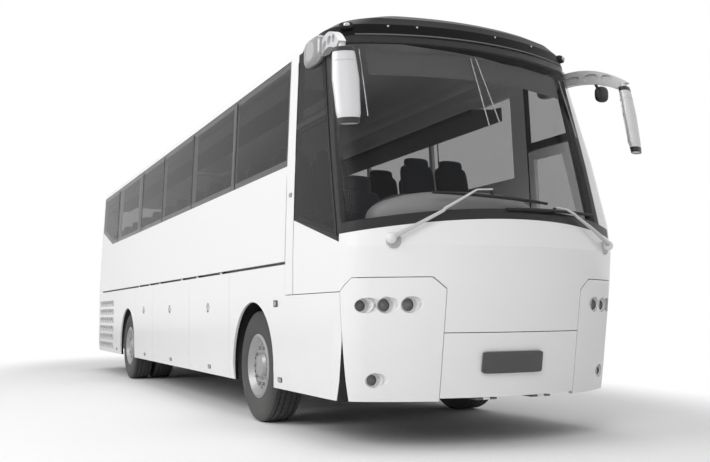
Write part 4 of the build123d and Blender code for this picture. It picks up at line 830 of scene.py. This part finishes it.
# ---------------------------------------------------------------- side markers and repeaters
# Small amber-grey marker lamps along the skirt, a repeater behind the front corner and an oval lamp on
# the pillar, each a lens pushed into the panel, the first two in a dark bezel.
MARKERS = [(9.79, None), (7.488, 3), (5.867, 2), (4.06, 1), (1.849, None)]
REPEATER_BACK, PILLAR_LAMP_BACK = 1.945, 1.614
SIDE_LINE = [(0.36, 1.261), (0.52, 1.275), (1.50, 1.275), (2.03, 1.2617), (2.5, 1.2465), (3.1, 1.2213)]
SIDE_LAMPS = {
    # plate: reach ahead and behind, low and high, inner and outer lift, power of its outline
    "marker_bezel": (0.052, 0.052, 0.418, 0.462, -0.002, 0.004, 5.0),
    "marker_lens": (0.045, 0.045, 0.424, 0.456, 0.002, 0.009, 4.0),
    "repeater_bezel": (0.05, 0.05, 1.072, 1.132, -0.002, 0.006, 6.0),
    "repeater_lens": (0.04, 0.02, 1.082, 1.122, 0.003, 0.016, 4.0),
    "pillar_lamp": (0.03, 0.03, 2.01, 2.05, -0.002, 0.008, 2.4),
}
marker_lens = finish(
    "marker_lens", (0.30, 0.28, 0.26), 0.15, {"Coat Weight": 0.6}, bump=(500.0, 0.3, 0.0006),
    mottle=((0.2, 0.19, 0.18), 40.0),
)


def on_side(way):
    """The body's side as a surface of (along, up, lift), on the left (1) or right (-1)."""
    def at(y, z, lift):
        y, z = spread(y, z)
        return np.stack([way * (along_line(z, SIDE_LINE) + lift), y, z], -1)

    return at


def side_lamp(kind, ending, back, way, body="coach"):
    """One plate of a lamp let into the side, at a distance back from the nose."""
    ahead, behind, low, high, inner, outer, power = SIDE_LAMPS[kind]
    y = NOSE_Y + back
    plate = slab(y - ahead, y + behind, low, high, on_side(way), inner, outer, power)
    material, slot = (black_trim, "black_trim") if kind.endswith("bezel") else (marker_lens, "lamp_glass")
    piece(f"{kind}_{ending}", [plate], material, body)


for side, way in SIDES:
    for back, locker in MARKERS:
        body = f"locker_{locker}_{side}" if locker else "coach"
        for kind in ("marker_bezel", "marker_lens"):
            side_lamp(kind, f"{int(back * 1000)}_{side}", back, way, body)
    side_lamp("repeater_bezel", side, REPEATER_BACK, way)
    side_lamp("repeater_lens", side, REPEATER_BACK, way)
    side_lamp("pillar_lamp", side, PILLAR_LAMP_BACK, way)

# ---------------------------------------------------------------- side louvres and pillar joints
# Pressed louvre panels over the engine's air slots, six by six on each side, their flat grey a painted shade
# for the shade in the louvres' slots, and the fine black joints down both edges of the pillar behind the
# driver's window.
LOUVRE_FROM, LOUVRE_STEP, LOUVRE_HALF, LOUVRES = (10.20, 0.480), (0.245, 0.148), (0.086, 0.046), 6
PILLAR_JOINTS = [
    # back from the nose, low and high
    (1.530, 1.172, 3.18), (1.716, 1.46, 3.18),
]
# Grey over the louvres as painted shade of their slots, with a real film of road dust on it.
louvre_painted_shade = finish(
    "louvre_painted_shade", 0.46, 0.5, dust={"Amount": 0.5, "High": 1.6}, bump=(240.0, 0.1, 0.0006)
)
joint_black = finish("joint_black", 0.05, 0.7, bump=(300.0, 0.2, 0.0005))
for side, way in SIDES:
    louvres, lines = [], []
    for number in range(LOUVRES**2):
        y = NOSE_Y + LOUVRE_FROM[0] + LOUVRE_STEP[0] * (number // LOUVRES)
        z = LOUVRE_FROM[1] + LOUVRE_STEP[1] * (number % LOUVRES)
        extent = (y - LOUVRE_HALF[0], y + LOUVRE_HALF[0], z - LOUVRE_HALF[1], z + LOUVRE_HALF[1])
        louvres.append(slab(*extent, on_side(way), -0.004, 0.0012, 8.0, 24))
    piece(f"side_louvres_{side}", louvres, louvre_painted_shade)
    for back, z_low, z_high in PILLAR_JOINTS:
        line = on_side(way)(np.full(40, NOSE_Y + back), np.linspace(z_low, z_high, 40), 0.0002)
        lines.append(swept(line, rounded(0.0028, 0.0012, 4.0, 8), up=(way, 0, 0)))
    piece(f"pillar_joints_{side}", lines, joint_black)

# ---------------------------------------------------------------- mirrors
# Cast arms curve forward from the roof corners and carry deep oval housings. Each housing has a dark
# ring at its joint, a grey seam, a dark cap below and a convex glass; a kerb mirror hangs on a stalk
# behind the left one, and a silver casting covers the root of each arm.
HOUSING = [
    # height, across, back from the nose, half width, half depth
    (2.360, 1.355, 0.230, 0.074, 0.038), (2.440, 1.354, 0.245, 0.090, 0.048),
    (2.700, 1.353, 0.290, 0.101, 0.054), (2.890, 1.351, 0.325, 0.088, 0.048),
    (2.945, 1.349, 0.336, 0.076, 0.042),
]
HOUSING_TURN, OVAL_POWER = math.radians(35.0), 2.11
HOUSING_BANDS = [
    # name, low and high, how far it stands proud
    ("cap", 2.357, 2.400, 0.0022), ("seam", 2.838, 2.842, 0.0012), ("joint", 2.912, 2.948, 0.0025),
]
BAND_INSIDE, BAND_EDGE = -0.004, 0.0006
GLASS_EXTENT = (-0.80, 0.80, 2.44, 2.87)
FOOT_X, FOOT_HALF, FOOT_Y, FOOT_Z, FOOT_FACE = 1.215, 0.062, (-5.03, -4.665), (3.045, 3.285), 1.2745
RECESS_EXTENT = (-4.93, -4.76, 3.085, 3.245)
KERB_MIRROR = ((1.300, -5.398, 2.895), (1.440, -5.318, 3.040))
KERB_STALK = [(1.296, -5.355, 3.075), (1.315, -5.355, 3.04), (1.345, -5.358, 3.00)]
mirror_glass = finish(
    "mirror_glass", (0.75, 0.76, 0.78), 0.02, {"Metallic": 1.0}, mottle=((0.70, 0.71, 0.73), 2.0)
)
foot_silver = finish(
    "foot_silver", (0.33, 0.33, 0.335), 0.28, {"Metallic": 0.65}, bump=(240.0, 0.08, 0.001),
    mottle=((0.27, 0.27, 0.275), 14.0),
)


def housing_size(z):
    """A housing's half width and half depth at a height."""
    height, _, _, half_w, half_d = np.array(HOUSING).T
    return np.interp(z, height, half_w), np.interp(z, height, half_d)


def in_housing(way, z, wide, deep):
    """Places beside a housing's line: so far along its width and so far out of its front."""
    height, across, back, _, _ = np.array(HOUSING).T
    cos, sin = math.cos(HOUSING_TURN), math.sin(HOUSING_TURN)
    x = np.interp(z, height, across) + wide * cos + deep * sin
    y = NOSE_Y + np.interp(z, height, back) + wide * sin - deep * cos
    return np.stack([way * x, y, np.broadcast_to(z, x.shape)], -1)


def on_housing(way):
    """The back of a housing: width shares and heights, lifted off towards the driver."""
    def at(w, z, lift):
        w, z = spread(w, z)
        half_w, half_d = housing_size(z)
        bulge = (1 - np.abs(w) ** OVAL_POWER) ** (1 / OVAL_POWER) * half_d + lift
        return in_housing(way, z, w * half_w, -bulge)

    return at


def housing_band(way, z_low, z_high, grow):
    """A band round a housing: its section grown a little between two heights, closed on the inside."""
    grid = []
    for z, more in closed([
        (z_low, BAND_INSIDE), (z_low, grow * 0.6), (z_low + BAND_EDGE, grow), (z_high - BAND_EDGE, grow),
        (z_high, grow * 0.6), (z_high, BAND_INSIDE),
    ]):
        half_w, half_d = housing_size(z)
        oval = rounded(half_w + more, half_d + more, OVAL_POWER, 48)
        grid.append(in_housing(way, z, oval[:, 0], oval[:, 1]))
    return np.stack(grid), True, False


def power(value, exponent):
    """The power of a sine or cosine, with its sign kept."""
    return np.sign(value) * np.abs(value) ** exponent


def pad(low, high, around=0.35, over=0.35, lean=0.0, crown=0.0, steps=(14, 28), turn=0.0):
    """A stuffed or moulded block: a ball whose sines and cosines are raised to a power, so that its sides
    flatten, crowned on top, leant back with height and turned about the upright."""
    low, high = np.array(low, float), np.array(high, float)
    middle, half = (low + high) / 2, (high - low) / 2
    rise = np.linspace(-np.pi / 2, np.pi / 2, steps[0])[:, None]
    swing = circle(steps[1])[None]
    x = power(np.cos(rise), over) * power(np.cos(swing), around)
    y = power(np.cos(rise), over) * power(np.sin(swing), around)
    z = power(np.sin(rise), over) * np.ones_like(swing)
    x[0] = x[-1] = y[0] = y[-1] = 0.0
    z = z * (1 - crown * (x**2 + y**2) / 2)
    x, y = x * (1 - 0.05 * (1 - y**2) * (1 - np.abs(z))), y * (1 - 0.05 * (1 - x**2) * (1 - np.abs(z)))
    x, y, z = x * half[0], y * half[1], z * half[2]
    x, y = x * math.cos(turn) - y * math.sin(turn), x * math.sin(turn) + y * math.cos(turn)
    return np.stack([middle[0] + x, middle[1] + y + lean * (z + half[2]), middle[2] + z], -1), True, False


def on_foot(way):
    """The flat outer face of the casting at a mirror's root."""
    def at(y, z, lift):
        y, z = spread(y, z)
        return np.stack([np.full_like(y, way * (FOOT_FACE + lift)), y, z], -1)

    return at


for side, way in SIDES:
    for name, z_low, z_high, grow in HOUSING_BANDS:
        band = housing_band(way, z_low, z_high, grow)
        piece(f"mirror_{name}_{side}", [band], base_grey if name == "seam" else black_trim)
    glass = slab(*GLASS_EXTENT, on_housing(way), -0.006, 0.003, 4.0)
    piece(f"mirror_glass_{side}", [glass], mirror_glass)
    foot = pad(
        (way * FOOT_X - FOOT_HALF, FOOT_Y[0], FOOT_Z[0]), (way * FOOT_X + FOOT_HALF, FOOT_Y[1], FOOT_Z[1]),
        0.55, 0.6, steps=(36, 60),
    )
    piece(f"mirror_foot_{side}", [foot], foot_silver)
    recess = slab(*RECESS_EXTENT, on_foot(way), -0.004, 0.0006, 2.4)
    piece(f"mirror_foot_recess_{side}", [recess], base_grey)
    if side == "left":
        stalk = swept(path_through(KERB_STALK, 12), rounded(0.012, 0.012, 2.0, 16), up=(0, 1, 0))
        kerb = pad(*KERB_MIRROR, 0.8, 0.75, steps=(24, 40))
        piece(f"kerb_mirror_{side}", [kerb, stalk], black_trim)

# ---------------------------------------------------------------- side glass joints and cap seam
# Black sealant joints between the bonded side panes, and the grey rubber that closes the gap between
# the screen and the roof cap.
JOINTS, JOINT_HALF, JOINT_LOW, JOINT_SHORT = (3.25, 5.0, 6.6, 8.0, 10.05), 0.008, 2.30, 0.03
SEAM_Z, SEAM_HALF = 3.238, 1.03
sealant = finish("sealant", 0.010, 0.7, bump=(300.0, 0.3, 0.0005))
seam_grey = finish("seam_rubber", 0.12, 0.5, bump=(300.0, 0.2, 0.0005))
joint_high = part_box("side_glazing")[1].z - JOINT_SHORT
strips = []
for back in JOINTS:
    for way in (-1, 1):
        y = NOSE_Y + back
        extent = (y - JOINT_HALF, y + JOINT_HALF, JOINT_LOW, joint_high)
        strips.append(slab(*extent, on_side(way), -0.003, 0.0018, 20.0))
piece("glass_joints", strips, sealant)
span = np.linspace(-SEAM_HALF, SEAM_HALF, 80)
seam = swept(on_front(span, np.full(80, SEAM_Z), 0.002), rounded(0.006, 0.005, 2.5, 12), up=(0, -1, 0.3))
piece("cap_seam", [seam], seam_grey)

# ---------------------------------------------------------------- roof marker lamps
# Small bright markers let into the corners of the roof cap, each in a black housing, and four bright
# buttons between them.
ROOF_MARKERS = [
    # name, across, half across, front and back, low and high, roundness
    ("housing", 1.075, 0.060, (-5.185, -5.095), (3.285, 3.345), 0.6, sealant, "black_trim"),
    ("lens", 1.085, 0.030, (-5.198, -5.138), (3.297, 3.333), 0.8, bright_ring, "lamp_glass"),
]
MARKER_TURN = 0.6
BUTTONS_X, BUTTONS_Z = (-0.78, -0.55, 0.17, 0.60), 3.31
BUTTON = [(0.0, -0.004), (0.008, -0.004), (0.008, 0.001), (0.005, 0.004), (0.0, 0.005)]
for side, way in SIDES:
    for name, x, half, (front, back), (z_low, z_high), soft, material, slot in ROOF_MARKERS:
        low, high = (way * x - half, front, z_low), (way * x + half, back, z_high)
        shape = pad(low, high, soft, soft, turn=way * MARKER_TURN, steps=(20, 40))
        piece(f"roof_marker_{name}_{side}", [shape], material)
buttons = []
for x in BUTTONS_X:
    at = on_front(x, BUTTONS_Z, 0.0)
    buttons.append(turned(BUTTON, at, on_front(x, BUTTONS_Z, 1.0) - at, 20))
piece("cap_buttons", buttons, bright_ring)

# ---------------------------------------------------------------- sun blind and rods
# Grey roller blinds drawn a hand's depth down behind the top of the screen, on bright steel rods.
BLINDS, BLIND_Z = ((-0.98, -0.085), (-0.03, 0.95)), (2.905, 3.12)
RODS = [
    # top and bottom of each rod, across and up
    ((-1.015, 3.135), (-1.038, 2.54)), ((-0.093, 3.11), (-0.079, 2.50)), ((-0.043, 3.115), (0.033, 2.53)),
    ((1.02, 3.10), (1.06, 2.55)),
]
blind_cloth = finish(
    "blind_cloth", (0.12, 0.12, 0.123), 0.8, bump=(600.0, 0.4, 0.0005), mottle=((0.15, 0.15, 0.154), 25.0)
)
blinds = [slab(*extent, *BLIND_Z, on_front, -0.062, -0.058, 24.0) for extent in BLINDS]
piece("sun_blinds", blinds, blind_cloth)
rods = []
for ends in RODS:
    flat = path_through(ends, 20)
    rods.append(swept(on_front(flat[:, 0], flat[:, 1], -0.045), rounded(0.005, 0.005, 2.0, 12), up=(0, 1, 0)))
piece("blind_rods", rods, bright_ring)

# ---------------------------------------------------------------- driver's place
# A moulded grey crown and shelf over the dashboard, bent to the screen's plan, their light grey a painted
# reflection of the surroundings mirrored in the screen's curved corner, and a steering wheel with a round
# rim, a boss, three spokes and a cover round its column.
DASH_BEND = 2.05
DASH_TOPS = [
    ("dash_crown", (-1.06, -5.905, 1.46), (0.30, -5.50, 1.93)),
    ("dash_shelf", (0.10, -5.905, 1.46), (1.06, -5.45, 1.70)),
]
WHEEL_AT, WHEEL_WAY = np.array([-0.62, -5.10, 1.84]), np.array([0.0, 0.45, 0.89])
COLUMN_FOOT = (-0.62, -5.24, 1.56)
GRIP_RING, GRIP_R = 0.225, 0.016
WHEEL_BOSS = [(0.0, 0.012), (0.04, 0.010), (0.062, 0.0), (0.062, -0.02), (0.045, -0.035), (0.0, -0.035)]
# Light grey as painted reflection: the real moulded crown and shelf are made pale and large so they show
# through the screen as the mirrored surroundings.
crown_painted_reflection = finish(
    "dash_crown", (0.36, 0.36, 0.365), 0.45, bump=(380.0, 0.25, 0.0006), mottle=((0.31, 0.31, 0.314), 6.0)
)
for name, low, high in DASH_TOPS:
    grid, ring, capped = pad(low, high, 0.6, 0.75, steps=(40, 96))
    grid[..., 1] += DASH_BEND - np.sqrt(DASH_BEND**2 - grid[..., 0] ** 2)
    piece(name, [(grid, ring, capped)], crown_painted_reflection)
grip = np.linspace(0, 2 * np.pi, 17)
grip = np.stack([GRIP_RING + GRIP_R * np.cos(grip), GRIP_R * np.sin(grip)], -1)
wheel_parts = [turned(grip, WHEEL_AT, WHEEL_WAY, 72), turned(WHEEL_BOSS, WHEEL_AT, WHEEL_WAY, 40)]
down = np.cross(WHEEL_WAY, (1.0, 0.0, 0.0))
for turn in (0.0, np.pi, -np.pi / 2):
    out = np.array([math.cos(turn), 0.0, 0.0]) + math.sin(turn) * down / np.linalg.norm(down)
    line = path_through([WHEEL_AT + out * 0.05 - 0.012 * WHEEL_WAY, WHEEL_AT + out * 0.215], 12)
    wheel_parts.append(swept(line, rounded(0.018, 0.007, 3.0, 16), up=WHEEL_WAY))
line = path_through([WHEEL_AT - 0.03 * WHEEL_WAY, COLUMN_FOOT], 20)
wheel_parts.append(swept(line, rounded(0.045, 0.045, 2.0, 24), up=(1, 0, 0)))
made = piece("steering_wheel_moulded", wheel_parts, grained)
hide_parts("steering_wheel")

# ---------------------------------------------------------------- seats
# Twin coach seats in dark cloth over moulded foam, each with a crowned cushion, a leaning back and its
# own headrest, on pedestals that stand on the floor. The driver has a taller seat on a bellows base.
SEAT_ROWS, FIRST_SEAT, SEAT_PITCH, SEAT_FLOOR = 12, 2.35, 0.80, 1.50
SEAT_PLACES, SEAT_WIDTH = (0.295, 0.715), 0.405
PEDESTALS, BEARER = (0.42, 1.00), (0.30, 1.125)
PASSENGER_PADS = [
    # cushion, back and headrest: in from the seat's sides, front and back, low and high, shape
    (0.00, (-0.445, 0.010), (0.355, 0.462), {"around": 0.30, "over": 0.45, "crown": 0.25}),
    (0.01, (-0.028, 0.078), (0.40, 1.06), {"around": 0.45, "over": 0.30, "lean": 0.20}),
    (0.06, (0.092, 0.178), (0.99, 1.135), {"around": 0.55, "over": 0.50, "lean": 0.15}),
]
DRIVER_X, DRIVER_BACK = (-0.845, -0.395), 1.5
DRIVER_PADS = [
    (0.000, (-0.445, 0.02), (1.475, 1.600), {"around": 0.30, "over": 0.45, "crown": 0.25, "steps": (28, 56)}),
    (0.015, (-0.03, 0.085), (1.54, 2.10), {"around": 0.45, "over": 0.30, "lean": 0.17, "steps": (28, 56)}),
    (0.090, (0.07, 0.165), (2.085, 2.245), {"around": 0.55, "over": 0.50, "lean": 0.15, "steps": (24, 48)}),
]
BELLOWS_R, FOLD_DEEP, FOLDS, BELLOWS_LOW, BELLOWS_TALL = 0.16, 0.012, 6, 1.125, 0.355
cloth, given, gives = group(
    "seat_weave", [("Thread Scale", "Float", 220.0), ("Patch Scale", "Float", 30.0)],
    [("Height", "Float"), ("Patch", "Float")],
)
place = part_of(cloth, "TexCoord").outputs["Object"]
threads = {"Vector": place, "Scale": given["Thread Scale"], "Distortion": 0.6}
warp, weft = (part_of(cloth, "TexWave", threads, bands_direction=way).outputs[1] for way in "XZ")
fill(cloth, gives, {
    "Height": maths(cloth, "MAXIMUM", warp, weft), "Patch": noise(cloth, place, given["Patch Scale"], 4.0),
})
seat_fabric, tree, shader = new_material("seat_fabric_weave")
weave = placed_group(tree, cloth, {"Thread Scale": 220.0, "Patch Scale": 30.0}).outputs
raised = part_of(tree, "Bump", {"Strength": 0.5, "Distance": 0.001, "Height": weave["Height"]})
fill(tree, shader, {
    "Roughness": 0.92, "Sheen Weight": 0.3, "Normal": raised.outputs[0],
    "Base Color": blend(tree, weave["Patch"], (0.022, 0.023, 0.027, 1), (0.050, 0.052, 0.060, 1)),
})


def seat_pads(table, x_low, x_high, y, z):
    """The cushion, back and headrest of one seat."""
    return [
        pad((x_low + inset, y + front, z + low), (x_high - inset, y + back, z + high), **shape)
        for inset, (front, back), (low, high), shape in table
    ]


pads, frames = [], []
for row in range(SEAT_ROWS):
    y = NOSE_Y + FIRST_SEAT + SEAT_PITCH * row
    for way in (-1, 1):
        for start in SEAT_PLACES:
            x_low, x_high = sorted((way * start, way * (start + SEAT_WIDTH)))
            pads += seat_pads(PASSENGER_PADS, x_low, x_high, y, SEAT_FLOOR)
        for x in (way * PEDESTALS[0], way * PEDESTALS[1]):
            line = path_through([(x, y - 0.225, SEAT_FLOOR + 0.002), (x, y - 0.225, SEAT_FLOOR + 0.365)], 4)
            frames.append(swept(line, rounded(0.025, 0.11, 6.0, 20), up=(0, 1, 0)))
        line = path_through([(way * x, y - 0.22, SEAT_FLOOR + 0.36) for x in BEARER], 4)
        frames.append(swept(line, rounded(0.10, 0.008, 6.0, 16)))
made = piece("passenger_seat_pads", pads, seat_fabric, crease=60.0)
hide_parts("passenger_seats")
piece("passenger_seat_frames", frames, chassis_black)
y = NOSE_Y + DRIVER_BACK
pads = seat_pads(DRIVER_PADS, *DRIVER_X, y, 0.0)
made = piece("driver_seat_pads", pads, seat_fabric, crease=60.0)
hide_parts("driver_seat")
up = np.linspace(0, 1, 49)
bellow = np.stack([
    BELLOWS_R + FOLD_DEEP * np.cos(up * 2 * np.pi * FOLDS), BELLOWS_LOW + BELLOWS_TALL * up,
], -1)
profile = np.vstack([[(0.0, 1.122)], bellow, [(0.0, 1.482)]])
piece("driver_seat_base", [turned(profile, (-0.62, y - 0.22, 0.0), (0, 0, 1), 48)], bellows)

# ---------------------------------------------------------------- rear end
# Round lamps in black bezels stacked at each rear corner, a slatted grille in the engine lid for the
# radiator's air, and a blank plate under it.
REAR_LINE = [
    # height, where the middle of the tail stands
    (0.36, 5.905), (0.5, 5.935), (0.7, 5.954), (1.02, 5.980), (1.3, 5.999), (1.6, 5.995), (3.2, 5.884),
]
REAR_SWEEP = 0.083
REAR_UNITS, REAR_X, REAR_WAY = [("tail", 1.020), ("stop", 0.860), ("turn", 0.700)], 1.01, (0.17, 0.98, 0.08)
REAR_BEZEL = [
    (0.0, -0.02), (0.070, -0.02), (0.072, 0.006), (0.066, 0.012), (0.060, 0.010), (0.058, 0.004),
    (0.0, 0.004),
]
REAR_LENS = [(0.0, 0.004), (0.057, 0.004), (0.057, 0.014), (0.050, 0.021), (0.030, 0.026), (0.0, 0.028)]
SLATS_FROM, SLATS_TO, SLAT_STEP, SLAT_TALL, SLAT_HALF = 0.86, 1.09, 0.028, 0.016, 0.52
GRILLE_BACK, REAR_PLATE = (-0.55, 0.55, 0.84, 1.11), (-0.26, 0.26, 0.64, 0.76)


def rear_lens(name, colour, other):
    """A ribbed plastic lens in a strong colour, mottled with a darker one."""
    return finish(name, colour, 0.12, {"Coat Weight": 0.8}, bump=(420.0, 0.4, 0.0008), mottle=(other, 60.0))


def on_rear(x, z, lift):
    """The tail as a surface: its upright line, and forward from it with the square of the distance out."""
    x, z = spread(x, z)
    return np.stack([x, along_line(z, REAR_LINE) - REAR_SWEEP * x**2 + lift, z], -1)


red_lens = rear_lens("red_lens", (0.28, 0.02, 0.02), (0.18, 0.012, 0.012))
amber_lens = rear_lens("amber_lens", (0.42, 0.16, 0.02), (0.32, 0.11, 0.015))
for side, way in SIDES:
    bezels = []
    for name, z in REAR_UNITS:
        at = on_rear(way * REAR_X, z, 0.0)
        normal = np.array([way * REAR_WAY[0], *REAR_WAY[1:]])
        bezels.append(turned(REAR_BEZEL, at, normal, 48))
        material = amber_lens if name == "turn" else red_lens
        made = piece(f"rear_{name}_lens_{side}", [turned(REAR_LENS, at, normal, 48)], material)
        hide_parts("rear_lamps")
    piece(f"rear_lamp_bezels_{side}", bezels, black_trim)
slats = [
    slab(-SLAT_HALF, SLAT_HALF, z, z + SLAT_TALL, on_rear, -0.012, 0.008, 6.0)
    for z in np.arange(SLATS_FROM, SLATS_TO, SLAT_STEP)
]
slats.append(slab(*GRILLE_BACK, on_rear, -0.012, 0.001, 12.0))
piece("lid_grille", slats, black_trim, "engine_lid")
plate = slab(*REAR_PLATE, on_rear, -0.002, 0.014)
piece("number_plate_rear", [plate], plate_plastic, "engine_lid")

low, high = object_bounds()
